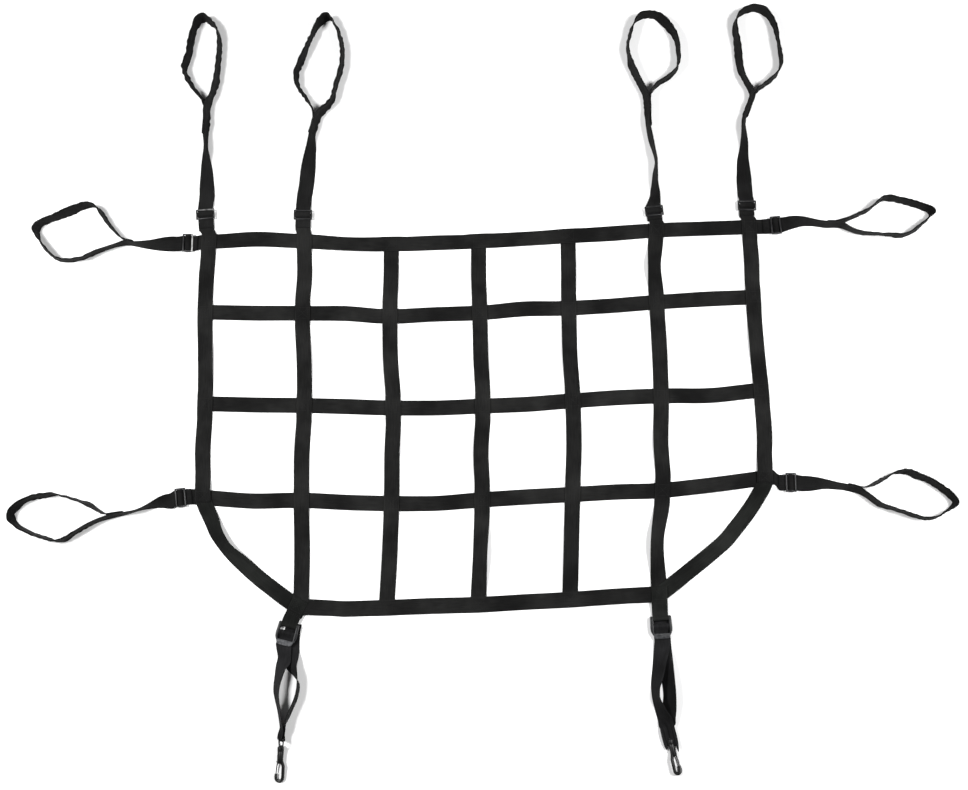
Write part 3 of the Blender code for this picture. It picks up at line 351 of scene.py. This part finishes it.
class Gather:
    """Where a hook strap is gathered round the bar of its eye."""

    def __init__(self, side, seed):
        joints = frame["record"]["behaviour"]["joints"]
        swivel = next(joint for joint in joints if joint["name"] == "swivel_" + side)
        self.bar = Vector(swivel["pos_m"])
        self.way = (Vector(swivel["axis"]) * FLAT).normalized()
        self.across = Vector((-self.way.y, self.way.x, 0))
        self.bulge = BULGES[side]
        self.seed = seed

    def fold(self, share, spot):
        """The height of the small folds at this place."""
        distance = (spot - self.bar).length
        if distance > GATHER_REACH:
            return 0
        weight = (1 - distance / GATHER_REACH) ** GATHER_FADE
        lean = GATHER_DRIFT * distance / GATHER_REACH
        return GATHER_DEPTH * weight * math.sin(GATHER_WAVE * share + self.seed + lean)

    def shift(self, share, spot):
        """How far the bunched strap bulges on past the bar and to the sides."""
        middle, edges, spread = self.bulge
        away = spot - self.bar
        past = min(1, max(0, (away.dot(self.way) - WRAP_START) / WRAP_DEPTH))
        crumple = CRUMPLE[0] + CRUMPLE[1] * soft_noise(share, CRUMPLE_WIDTH, self.seed + 31)
        lobe = math.exp(-(((abs(share) - LOBE_PLACE) / LOBE_WIDTH) ** LOBE_POWER))
        reach = (middle + (edges - middle) * lobe) * crumple * past
        bunched = max(0, 1 - (away.length / GATHER_REACH) ** 2) ** 2
        aside = away.dot(self.across) * spread * bunched
        return self.way * reach + self.across * aside


class Cloth:
    """A length of webbing on a node's line, and where its surface is."""

    def __init__(self, node, start, seed):
        self.node = node
        side = node.rsplit("_", 1)[1]
        self.gather = Gather(side, seed) if node.startswith("hook_strap") else None
        self.section = finer(SECTION) if self.gather else SECTION
        step = LOOP_STEP if node.startswith("loop_") else SECTION_STEP
        self.fine = fine_line(strap_line(node, start), step)
        self.middles = [(left + right) / 2 for left, right in self.fine]
        self.along = [0.0]
        for before, after in zip(self.middles, self.middles[1:]):
            self.along.append(self.along[-1] + (after - before).length)
        self.length = self.along[-1]
        self.normals = []
        self.rings = [self.ring(index, seed) for index in range(len(self.fine))]

    def ring(self, index, seed):
        """The section's points, across one face and back across the other, above the floor."""
        left, right = self.fine[index]
        middle, along = self.middles[index], self.along[index]
        last = len(self.fine) - 1
        run = self.middles[min(index + 1, last)] - self.middles[max(index - 1, 0)]
        side = (right - left) / 2
        normal = run.cross(side).normalized()
        self.normals.append(normal)
        cupping = next(sizes[1] for start, sizes in RIPPLES.items() if self.node.startswith(start))
        cup = cupping * soft_noise(along, CUPPING_LENGTH, seed + 2)
        lifts = [edge_offset(self.node, along, self.length, edge, seed) for edge in (0, 1)]
        full = PUCKER_FULLNESS * puckered(self.node, along, self.length)
        full *= 1 + FULLNESS_CHANGE * soft_noise(along, FULLNESS_LENGTH, seed + 17)
        points = []
        for face in (1, -1):
            for share, thick in self.section[::face]:
                lift = cup * (1 - share * share)
                lift += lifts[0 if share < 0 else 1] * abs(share) ** 3
                spot = middle + side * share
                if self.gather:
                    lift += self.gather.fold(share, spot)
                    spot = spot + self.gather.shift(share, spot)
                thickness = thick * (HALF_THICKNESS + full * share * share)
                spot = spot + normal * (lift + face * thickness)
                points.append(Vector((spot.x, spot.y, max(spot.z, 0))))
        return points

    def index_at(self, along):
        """The section before this distance, and how far past it, from 0 to 1."""
        along = min(max(along, 0), self.length * 0.9999)
        index = next(i for i in range(len(self.along) - 1) if self.along[i + 1] > along)
        return index, (along - self.along[index]) / (self.along[index + 1] - self.along[index])

    def surface(self, along, across, face):
        """The point of the upper (1) or lower (-1) face, across from the strap's middle."""
        index, part = self.index_at(along)
        shares = [share for share, _ in self.section]
        share = min(max(across / (STRAP_WIDTH / 2), shares[0]), shares[-1] * 0.9999)
        column = next(i for i in range(len(shares) - 1) if shares[i + 1] > share)
        beside = (share - shares[column]) / (shares[column + 1] - shares[column])
        ends = []
        for ring in self.rings[index : index + 2]:
            row = ring[: len(shares)] if face == 1 else ring[: len(shares) - 1 : -1]
            ends.append(row[column].lerp(row[column + 1], beside))
        return ends[0].lerp(ends[1], part)

    def normal_at(self, along):
        index, part = self.index_at(along)
        return self.normals[index].lerp(self.normals[index + 1], part).normalized()

    def upper_face(self, along):
        return 1 if self.normal_at(along).z > 0 else -1

    def make_piece(self, name, slot):
        """The webbing as a closed strip with a woven section."""
        size = 2 * len(self.section)
        vertices = [point for ring in self.rings for point in ring]
        measures = []
        for (left, right), along in zip(self.fine, self.along):
            half = (right - left).length / 2
            for face in (1, -1):
                measures += [(along, half * (share + 1)) for share, _ in self.section[::face]]
        faces = []
        for index in range(len(self.rings) - 1):
            for corner in range(size):
                here, beside = index * size + corner, index * size + (corner + 1) % size
                faces.append((here, beside, beside + size, here + size))
        faces.append(tuple(range(size))[::-1])
        faces.append(tuple(range(len(vertices) - size, len(vertices))))
        mesh = bpy.data.meshes.new(name)
        mesh.from_pydata(vertices, [], faces)
        layer = mesh.uv_layers.new(name="weave")
        for loop in mesh.loops:
            layer.data[loop.index].uv = measures[loop.vertex_index]
        turn_outward(mesh)
        for polygon in mesh.polygons:
            polygon.use_smooth = len(polygon.vertices) == 4
        return new_piece(name, mesh, slot, "root", self.node)


def turn_outward(mesh):
    """Points every face outwards."""
    shape = bmesh.new()
    shape.from_mesh(mesh)
    bmesh.ops.recalc_face_normals(shape, faces=shape.faces)
    shape.to_mesh(mesh)
    shape.free()


def new_piece(name, mesh, slot, body, *nodes):
    """An object in the record's slot, riding on a body, in place of any nodes named."""
    piece = bpy.data.objects.new(name, mesh)
    bpy.context.scene.collection.objects.link(piece)
    mesh.materials.clear()
    mesh.materials.append(finishes[slot])
    if nodes:
        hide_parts(*nodes)
    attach(piece, body)
    return piece


# --- Finishes ------------------------------------------------------------------------


def new_finish(name, colour, roughness, metallic=0.0):
    material = bpy.data.materials.new(name)
    material.use_nodes = True
    shader = material.node_tree.nodes["Principled BSDF"]
    shader.inputs["Base Color"].default_value = (*colour, 1)
    shader.inputs["Roughness"].default_value = roughness
    shader.inputs["Metallic"].default_value = metallic
    return material, material.node_tree, shader


def add_math(tree, operation, first, second=None, clamp=False):
    node = tree.nodes.new("ShaderNodeMath")
    node.operation = operation
    node.use_clamp = clamp
    for socket, value in zip(node.inputs, (first, second)):
        if value is None:
            continue
        if isinstance(value, (int, float)):
            socket.default_value = value
        else:
            tree.links.new(value, socket)
    return node.outputs[0]


def add_noise(tree, vector, scale, detail=3.0, roughness=0.55):
    node = tree.nodes.new("ShaderNodeTexNoise")
    node.inputs["Scale"].default_value = scale
    node.inputs["Detail"].default_value = detail
    node.inputs["Roughness"].default_value = roughness
    tree.links.new(vector, node.inputs["Vector"])
    return node.outputs["Fac"]


def add_ramp(tree, value, stops):
    """A colour ramp; each stop is a position and a colour."""
    node = tree.nodes.new("ShaderNodeValToRGB")
    ramp = node.color_ramp
    while len(ramp.elements) < len(stops):
        ramp.elements.new(0.5)
    for element, (position, colour) in zip(ramp.elements, stops):
        element.position = position
        element.color = (*colour, 1)
    tree.links.new(value, node.inputs["Fac"])
    return node.outputs["Color"]


def add_up(tree, *terms):
    """The sum of some values, each with its weight."""
    total = None
    for value, weight in terms:
        part = add_math(tree, "MULTIPLY", value, weight)
        total = part if total is None else add_math(tree, "ADD", total, part)
    return total


def add_bump(tree, shader, height, depth, strength=1.0):
    node = tree.nodes.new("ShaderNodeBump")
    node.inputs["Strength"].default_value = strength
    node.inputs["Distance"].default_value = depth
    tree.links.new(height, node.inputs["Height"])
    tree.links.new(node.outputs["Normal"], shader.inputs["Normal"])


def webbing_finish(name, dark, light):
    """Near-black webbing: ribs across, warp columns along, paler selvedges, some fuzz."""
    material, tree, shader = new_finish(name, dark, 0.8)
    layer = tree.nodes.new("ShaderNodeUVMap")
    layer.uv_map = "weave"
    parts = tree.nodes.new("ShaderNodeSeparateXYZ")
    tree.links.new(layer.outputs["UV"], parts.inputs[0])
    along, across = parts.outputs["X"], parts.outputs["Y"]
    columns = add_math(tree, "SINE", add_math(tree, "MULTIPLY", across, FULL_TURN / COLUMN_PITCH))
    ribs = add_math(
        tree, "SINE", add_up(tree, (along, FULL_TURN / PICK_PITCH), (columns, RIB_LEAN))
    )
    woven = add_up(tree, (columns, 0.5), (ribs, 1.0))
    aside = add_math(tree, "ABSOLUTE", add_math(tree, "SUBTRACT", across, STRAP_WIDTH / 2))
    selvedge = add_math(tree, "SUBTRACT", aside, SELVEDGE_START)
    selvedge = add_math(tree, "MULTIPLY", selvedge, 1 / SELVEDGE_FADE, clamp=True)
    place = tree.nodes.new("ShaderNodeTexCoord").outputs["Object"]
    cloud = add_noise(tree, place, WEAVE_SCALES["cloud"])
    drawn_out = tree.nodes.new("ShaderNodeCombineXYZ")
    tree.links.new(add_math(tree, "MULTIPLY", along, STREAK_STRETCH), drawn_out.inputs["X"])
    tree.links.new(across, drawn_out.inputs["Y"])
    streaks = add_noise(tree, drawn_out.outputs[0], WEAVE_SCALES["streaks"], detail=2.0)
    fuzz = add_noise(tree, place, WEAVE_SCALES["fuzz"], detail=2.0)
    tone = add_up(
        tree,
        (add_math(tree, "SUBTRACT", cloud, 0.5), WEAVE_TONES["cloud"]),
        (streaks, WEAVE_TONES["streaks"]),
        (woven, WEAVE_TONES["weave"]),
        (selvedge, WEAVE_TONES["selvedge"]),
        (fuzz, WEAVE_TONES["fuzz"]),
    )
    colour = add_ramp(tree, tone, tuple(zip(WEAVE_STOPS, (dark, light))))
    tree.links.new(colour, shader.inputs["Base Color"])
    rough = add_math(tree, "ADD", 0.76, add_math(tree, "MULTIPLY", streaks, 0.22))
    tree.links.new(rough, shader.inputs["Roughness"])
    shader.inputs["Sheen Weight"].default_value = 0.01
    shader.inputs["Sheen Roughness"].default_value = 0.5
    shader.inputs["Specular IOR Level"].default_value = 0.1
    add_bump(tree, shader, add_up(tree, (woven, 0.5), (fuzz, 1.0)), WEAVE_DEPTH, 0.8)
    return material


def moulded_finish(name, colour, light, roughness, painted_highlight=None):
    """Moulded plastic: a fine grain and slight scuffs, and a painted highlight, paler, where the
    mesh marks it.
    """
    material, tree, shader = new_finish(name, colour, roughness)
    place = tree.nodes.new("ShaderNodeTexCoord").outputs["Object"]
    grain = add_noise(tree, place, PLASTIC_GRAIN, detail=2.0)
    scuffs = add_noise(tree, place, SCUFF_SCALE, detail=5.0, roughness=0.7)
    colours = add_ramp(tree, scuffs, ((0.35, colour), (0.72, light)))
    # Painted highlight: a paler colour mixed in by the share that the mesh marks at each point
    if painted_highlight:
        paler = add_ramp(tree, scuffs, ((0.3, light), (0.7, painted_highlight)))
        mix = tree.nodes.new("ShaderNodeMix")
        mix.data_type = "RGBA"
        highlight_share = tree.nodes.new("ShaderNodeAttribute")
        highlight_share.attribute_name = "rub"
        tree.links.new(highlight_share.outputs["Fac"], mix.inputs[MIX_SHARE])
        tree.links.new(colours, mix.inputs[MIX_FIRST])
        tree.links.new(paler, mix.inputs[MIX_SECOND])
        colours = mix.outputs[MIX_RESULT]
    tree.links.new(colours, shader.inputs["Base Color"])
    rough = add_math(tree, "ADD", roughness - 0.12, add_math(tree, "MULTIPLY", scuffs, 0.26))
    tree.links.new(rough, shader.inputs["Roughness"])
    shader.inputs["Specular IOR Level"].default_value = 0.22
    add_bump(tree, shader, grain, PLASTIC_GRAIN_DEPTH, 0.5)
    return material


def metal_finish(name, colour, worn, roughness, metallic, worn_from):
    """Cast metal under a coat, worn paler where the wear noise passes worn_from."""
    material, tree, shader = new_finish(name, colour, roughness, metallic)
    place = tree.nodes.new("ShaderNodeTexCoord").outputs["Object"]
    cast = add_noise(tree, place, CAST_GRAIN, detail=2.0)
    wear = add_noise(tree, place, WEAR_SCALE, detail=6.0, roughness=0.65)
    colours = add_ramp(tree, wear, ((worn_from, colour), (worn_from + WEAR_FADE, worn)))
    tree.links.new(colours, shader.inputs["Base Color"])
    rough = add_math(tree, "ADD", roughness - 0.1, add_math(tree, "MULTIPLY", wear, 0.22))
    tree.links.new(rough, shader.inputs["Roughness"])
    shader.inputs["Specular IOR Level"].default_value = 0.3
    add_bump(tree, shader, cast, CAST_GRAIN_DEPTH, 0.5)
    return material


def thread_finish():
    """Bonded thread, as dark as the webbing and a little shinier."""
    material, tree, shader = new_finish("thread", (0.009, 0.009, 0.009), 0.75)
    shader.inputs["Specular IOR Level"].default_value = 0.2
    place = tree.nodes.new("ShaderNodeTexCoord").outputs["Object"]
    twist = add_noise(tree, place, TWIST_SCALE, detail=1.0)
    colours = add_ramp(tree, twist, ((0.3, (0.004, 0.004, 0.004)), (0.75, (0.011, 0.011, 0.011))))
    tree.links.new(colours, shader.inputs["Base Color"])
    add_bump(tree, shader, twist, TWIST_DEPTH, 0.6)
    return material


finishes = {
    "net_webbing": webbing_finish("net_webbing", (0.0028, 0.0028, 0.0028), (0.0155, 0.0155, 0.015)),
    "corner_webbing": webbing_finish(
        "corner_webbing", (0.0028, 0.0031, 0.0028), (0.0155, 0.0165, 0.0152)
    ),
    "loop_webbing": webbing_finish("loop_webbing", (0.0022, 0.0022, 0.0022), (0.012, 0.012, 0.012)),
    "hook_strap_webbing": webbing_finish(
        "hook_strap_webbing", (0.0028, 0.0028, 0.003), (0.0155, 0.0155, 0.0165)
    ),
    # The last colour of each moulded finish is its painted highlight
    "slide_plastic": moulded_finish(
        "slide_plastic", (0.005, 0.005, 0.0055), (0.018, 0.018, 0.019), 0.36, (0.55, 0.55, 0.54)
    ),
    "lock_plastic": moulded_finish(
        "lock_plastic", (0.004, 0.0043, 0.0048), (0.009, 0.0095, 0.011), 0.42, (0.11, 0.112, 0.118)
    ),
    "hook_metal": metal_finish(
        "hook_metal", (0.004, 0.004, 0.004), (0.05, 0.049, 0.047), 0.4, 0.1, 0.7
    ),
    "gate_metal": metal_finish(
        "gate_metal", (0.02, 0.02, 0.02), (0.16, 0.157, 0.153), 0.34, 0.5, 0.6
    ),
}
thread = thread_finish()


# --- The straps ----------------------------------------------------------------------


def strap_slot(node):
    if node.startswith(("strap_corner", "lock_tab")):
        return "corner_webbing"
    if node.startswith("hook_strap"):
        return "hook_strap_webbing"
    return "loop_webbing" if node.startswith("loop") else "net_webbing"


def carried_on(node):
    """What a strap lies on or hangs from."""
    side = node.rsplit("_", 1)[1]
    if node.startswith("loop"):
        return [node.replace("loop", "slide")]
    if node.startswith("hook_strap"):
        return ["ladder_lock_" + side]
    if node.startswith("lock_tab"):
        return ["strap_corner_" + side]
    return []


straps = sorted(
    node for node in frame["nodes"]
    if node.startswith(("strap_", "loop_", "lock_tab_", "hook_strap_"))
)
webbings = {node: "webbing_" + node.replace("strap_", "") for node in straps}
cloths = {}


def middle_of(node):
    low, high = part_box(node)
    return (low + high) / 2


for seed, node in enumerate(straps):
    cloth = Cloth(node, middle_of((carried_on(node) or [node])[0]), seed)
    piece = cloth.make_piece(webbings[node], strap_slot(node))
    cloths[node] = cloth


# --- Stitching -----------------------------------------------------------------------


def seam(cloth, corners, face):
    """A seam's path on one face, through corners given as (along, across)."""
    path = []
    for (along, across), (next_along, next_across) in zip(corners, corners[1:]):
        steps = max(1, round(math.hypot(next_along - along, next_across - across) / SEAM_STEP))
        for step in range(steps + 1):
            share = step / steps
            spot = (along + (next_along - along) * share, across + (next_across - across) * share)
            raised = cloth.normal_at(spot[0]) * face * THREAD_RADIUS * THREAD_RISE
            path.append(cloth.surface(*spot, face) + raised)
    return path


def box_seams(cloth, along, half_length, half_width, face):
    """A box stitch with its cross, round a point of a strap."""
    near, far = along - half_length, along + half_length
    corners = [(near, -half_width), (near, half_width), (far, half_width), (far, -half_width)]
    ring = corners + corners[:1]
    cross = [corners[0], corners[2]], [corners[1], corners[3]]
    return [seam(cloth, ring, face)] + [seam(cloth, line, face) for line in cross]


def row_seams(cloth, first, count, face):
    """Rows of stitches straight across a strap."""
    half = STRAP_WIDTH / 2 - ROW_MARGIN
    places = [first + ROW_GAP * row for row in range(count)]
    return [seam(cloth, [(along, -half), (along, half)], face) for along in places]


def crossing_seams():
    """A box stitch wherever an upright and a level strap cross, on the upper of the two."""
    seams = []
    uprights = [cloth for node, cloth in cloths.items() if node.startswith("strap_upright")]
    levels = [cloth for node, cloth in cloths.items() if node.startswith("strap_level")]
    for upright in uprights:
        for level in levels:
            apart, i, j = min(
                (((a - b) * FLAT).length, i, j)
                for i, a in enumerate(upright.middles)
                for j, b in enumerate(level.middles)
            )
            if apart > CROSSING_REACH:
                continue
            over, index = (upright, i) if upright.middles[i].z > level.middles[j].z else (level, j)
            along = over.along[index]
            seams += box_seams(over, along, BOX_REACH, BOX_REACH, over.upper_face(along))
    return seams


def nearest(cloth, spot, last):
    """How far along a strap, up to a last distance, it comes nearest to a spot."""
    return min(
        ((middle - spot).length, along)
        for middle, along in zip(cloth.middles, cloth.along)
        if along <= last
    )[1]


def loop_seams():
    """Rows across each loop's free end, and a long box where its sewn end meets the stem."""
    seams = []
    for node, cloth in cloths.items():
        if not node.startswith("loop_"):
            continue
        seams += row_seams(cloth, *FREE_END_ROWS, cloth.upper_face(2 * FREE_END_ROWS[0]))
        start, end = (cloth.length - size for size in TAIL_SEAM)
        tail = (start + end) / 2
        spot = cloth.middles[cloth.index_at(tail)[0]]
        stem = nearest(cloth, spot, cloth.length * STEM_SHARE)
        outward = spot - cloth.middles[cloth.index_at(stem)[0]]
        half = (start - end) / 2
        for along, way in ((tail, outward), (stem, -outward)):
            face = 1 if cloth.normal_at(along).dot(way) > 0 else -1
            seams += box_seams(cloth, along, half, BOX_REACH, face)
    return seams


def tab_seams():
    """A box and two rows on each lock's tab."""
    seams = []
    for side in ("left", "right"):
        cloth = cloths["lock_tab_" + side]
        face = cloth.upper_face(TAB_BOX)
        seams += box_seams(cloth, TAB_BOX, BOX_REACH, BOX_REACH, face)
        seams += row_seams(cloth, *TAB_ROWS, face)
    return seams


def stitching_tree():
    """Geometry nodes that lay a stitch at every pitch of each path."""
    tree = bpy.data.node_groups.new("stitching", "GeometryNodeTree")
    face = tree.interface
    face.new_socket("Paths", in_out="INPUT", socket_type="NodeSocketGeometry")
    for name in ("Pitch", "Stitch length", "Thread radius"):
        face.new_socket(name, in_out="INPUT", socket_type="NodeSocketFloat")
    face.new_socket("Thread", in_out="INPUT", socket_type="NodeSocketMaterial")
    face.new_socket("Stitches", in_out="OUTPUT", socket_type="NodeSocketGeometry")
    add, link = tree.nodes.new, tree.links.new
    given, result = add("NodeGroupInput"), add("NodeGroupOutput")
    curves = add("GeometryNodeMeshToCurve")
    link(given.outputs["Paths"], curves.inputs["Mesh"])
    spaced = add("GeometryNodeResampleCurve")
    spaced.mode = "LENGTH"
    link(curves.outputs["Curve"], spaced.inputs["Curve"])
    link(given.outputs["Pitch"], spaced.inputs["Length"])
    stitch = add("GeometryNodeMeshUVSphere")
    stitch.inputs["Segments"].default_value = STITCH_SIDES
    stitch.inputs["Rings"].default_value = STITCH_RINGS
    stitch.inputs["Radius"].default_value = 1
    half = add("ShaderNodeMath")
    half.operation = "MULTIPLY"
    half.inputs[1].default_value = 0.5
    link(given.outputs["Stitch length"], half.inputs[0])
    size = add("ShaderNodeCombineXYZ")
    link(half.outputs[0], size.inputs["X"])
    link(given.outputs["Thread radius"], size.inputs["Y"])
    link(given.outputs["Thread radius"], size.inputs["Z"])
    turned = add("FunctionNodeAlignRotationToVector")
    turned.axis = "X"
    link(add("GeometryNodeInputTangent").outputs["Tangent"], turned.inputs["Vector"])
    laid = add("GeometryNodeInstanceOnPoints")
    link(spaced.outputs["Curve"], laid.inputs["Points"])
    link(stitch.outputs["Mesh"], laid.inputs["Instance"])
    link(turned.outputs["Rotation"], laid.inputs["Rotation"])
    link(size.outputs["Vector"], laid.inputs["Scale"])
    smooth = add("GeometryNodeSetShadeSmooth")
    whole = add("GeometryNodeRealizeInstances")
    painted = add("GeometryNodeSetMaterial")
    link(laid.outputs["Instances"], whole.inputs["Geometry"])
    link(whole.outputs["Geometry"], smooth.inputs["Geometry"])
    link(smooth.outputs["Geometry"], painted.inputs["Geometry"])
    link(given.outputs["Thread"], painted.inputs["Material"])
    link(painted.outputs["Geometry"], result.inputs["Stitches"])
    return tree


def stitch(name, seams, slot):
    """Thread along the seams, as one piece in the thread finish. The slot is not used."""
    vertices, edges = [], []
    for path in seams:
        first = len(vertices)
        vertices += path
        edges += [(first + step, first + step + 1) for step in range(len(path) - 1)]
    mesh = bpy.data.meshes.new(name + "_paths")
    mesh.from_pydata(vertices, edges, [])
    guide = bpy.data.objects.new(name + "_paths", mesh)
    bpy.context.scene.collection.objects.link(guide)
    modifier = guide.modifiers.new("stitching", "NODES")
    modifier.node_group = stitching
    values = {
        "Pitch": STITCH_PITCH, "Stitch length": STITCH_LENGTH,
        "Thread radius": THREAD_RADIUS, "Thread": thread,
    }
    for item in stitching.interface.items_tree:
        if item.in_out == "INPUT" and item.name in values:
            modifier[item.identifier] = values[item.name]
    graph = bpy.context.evaluated_depsgraph_get()
    stitches = bpy.data.meshes.new_from_object(guide.evaluated_get(graph))
    stitches.name = name
    bpy.data.objects.remove(guide)
    piece = bpy.data.objects.new(name, stitches)
    bpy.context.scene.collection.objects.link(piece)
    stitches.materials.clear()
    stitches.materials.append(thread)
    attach(piece, "root")


stitching = stitching_tree()
stitch("thread_crossings", crossing_seams(), "net_webbing")
stitch("thread_loops", loop_seams(), "loop_webbing")
stitch("thread_tabs", tab_seams(), "corner_webbing")


# --- Hard pieces ---------------------------------------------------------------------


def rub(node, mesh):
    """Marks where a moulded piece gets a painted highlight: a ladder lock's lip, or one rail of a
    slide.
    """
    if node.startswith("slide") and node not in SLIDE_HIGHLIGHTS:
        mesh.attributes.new("rub", "FLOAT", "POINT")
        return
    if node.startswith("ladder_lock"):
        x, y, angle, strength = LOCKS[node.rsplit("_", 1)[1]]
        way = Vector((math.cos(angle), math.sin(angle), 0))
        start, fade = Vector((x, y, 0)) + NET_MIDDLE + way * LIP_START, LIP_FADE
    else:
        way, strength = Vector(SLIDE_HIGHLIGHTS[node][0]), SLIDE_HIGHLIGHTS[node][1]
        start, fade = middle_of(node) + way * RAIL_START, RAIL_FADE
    shape = bmesh.new()
    shape.from_mesh(mesh)
    for spot in (start, start + way * fade):
        bmesh.ops.bisect_plane(
            shape, geom=shape.verts[:] + shape.edges[:] + shape.faces[:], plane_co=spot, plane_no=way
        )
    shape.to_mesh(mesh)
    shape.free()
    # The share of painted highlight at each point, fading in past the start
    painted_highlight = mesh.attributes.new("rub", "FLOAT", "POINT")
    for vertex, value in zip(mesh.vertices, painted_highlight.data):
        value.value = strength * min(1, max(0, (vertex.co - start).dot(way) / fade))


def smoothed(node, edge_radius):
    """A node's own shape with its coplanar triangles joined and its edges eased."""
    shape = welded(node)
    bmesh.ops.dissolve_limit(
        shape, angle_limit=FLAT_ANGLE, verts=shape.verts, edges=shape.edges
    )
    mesh = bpy.data.meshes.new("fine_" + node)
    shape.to_mesh(mesh)
    shape.free()
    guide = bpy.data.objects.new("guide_" + node, mesh)
    bpy.context.scene.collection.objects.link(guide)
    easing = guide.modifiers.new("easing", "BEVEL")
    easing.width = edge_radius
    easing.segments = 2
    easing.limit_method = "ANGLE"
    easing.angle_limit = EASED_ANGLE
    graph = bpy.context.evaluated_depsgraph_get()
    result = bpy.data.meshes.new_from_object(guide.evaluated_get(graph))
    result.name = "fine_" + node
    bpy.data.objects.remove(guide)
    # Ladder locks and slides are marked where their painted highlight goes
    if node.startswith(("ladder_lock", "slide")):
        rub(node, result)
    for polygon in result.polygons:
        polygon.use_smooth = True
    result.set_sharp_from_angle(angle=SHARP_ANGLE)
    return result


for part in frame["record"]["subparts"]:
    node = part["node"]
    if node in straps:
        continue
    kind = next(start for start in EDGE_RADII if node.startswith(start))
    body = "root"
    if kind == "snap_hook_":
        body = node.replace("snap_hook", "hook")
    elif kind == "hook_gate_":
        body = node.replace("hook_gate", "gate")
    new_piece("fine_" + node, smoothed(node, EDGE_RADII[kind]), part["material_slot"], body, node)


# --- Floor, light and camera ---------------------------------------------------------


def lay_floor():
    """The white floor, at the height that the net lies on."""
    shape = bmesh.new()
    bmesh.ops.create_grid(shape, x_segments=1, y_segments=1, size=FLOOR_REACH)
    mesh = bpy.data.meshes.new("floor")
    shape.to_mesh(mesh)
    shape.free()
    floor = bpy.data.objects.new("floor", mesh)
    bpy.context.scene.collection.objects.link(floor)
    material, _, shader = new_finish("floor_paint", FLOOR_WHITE, 0.8)
    shader.inputs["Specular IOR Level"].default_value = 0.1
    mesh.materials.append(material)


def add_softbox(name, place, target, size, power, spread=math.pi):
    lamp = bpy.data.lights.new(name, "AREA")
    lamp.size = size
    lamp.energy = power
    lamp.spread = spread
    box = bpy.data.objects.new(name, lamp)
    bpy.context.scene.collection.objects.link(box)
    box.location = place
    box.rotation_euler = (Vector(target) - Vector(place)).to_track_quat("-Z", "Y").to_euler()


def light_scene():
    world = bpy.data.worlds.new("studio")
    bpy.context.scene.world = world
    world.use_nodes = True
    backdrop = world.node_tree.nodes["Background"]
    backdrop.inputs["Color"].default_value = (1, 1, 1, 1)
    backdrop.inputs["Strength"].default_value = WORLD_STRENGTH
    for name, side, power in (
        ("left_softbox", -1, LEFT_POWER), ("right_softbox", 1, RIGHT_POWER)
    ):
        place = (side * SOFTBOX_PLACE[0], *SOFTBOX_PLACE[1:])
        aim = (side * SOFTBOX_AIM[0], *SOFTBOX_AIM[1:])
        add_softbox(name, place, aim, SOFTBOX_SIZE, power, SOFTBOX_SPREAD)
    add_softbox("overhead_softbox", OVERHEAD_PLACE, (0, 0, 0), OVERHEAD_SIZE, OVERHEAD_POWER)


def place_camera():
    bpy.context.scene.view_settings.view_transform = "Standard"
    lens = bpy.data.cameras.new("camera")
    lens.sensor_width = SENSOR
    lens.lens = SENSOR * FOCAL_PIXELS / PHOTO_WIDTH
    lens.shift_x = -CENTRE_SHIFT / PHOTO_WIDTH
    lens.shift_y = CENTRE_SHIFT / PHOTO_WIDTH
    lens.clip_end = LENS_REACH
    camera = bpy.data.objects.new("camera", lens)
    bpy.context.scene.collection.objects.link(camera)
    away = Vector((0, -math.sin(CAMERA_TILT), math.cos(CAMERA_TILT)))
    camera.location = NET_MIDDLE + away * CAMERA_DISTANCE
    camera.rotation_euler = (CAMERA_TILT, 0, 0)
    bpy.context.scene.camera = camera


lay_floor()
light_scene()
place_camera()
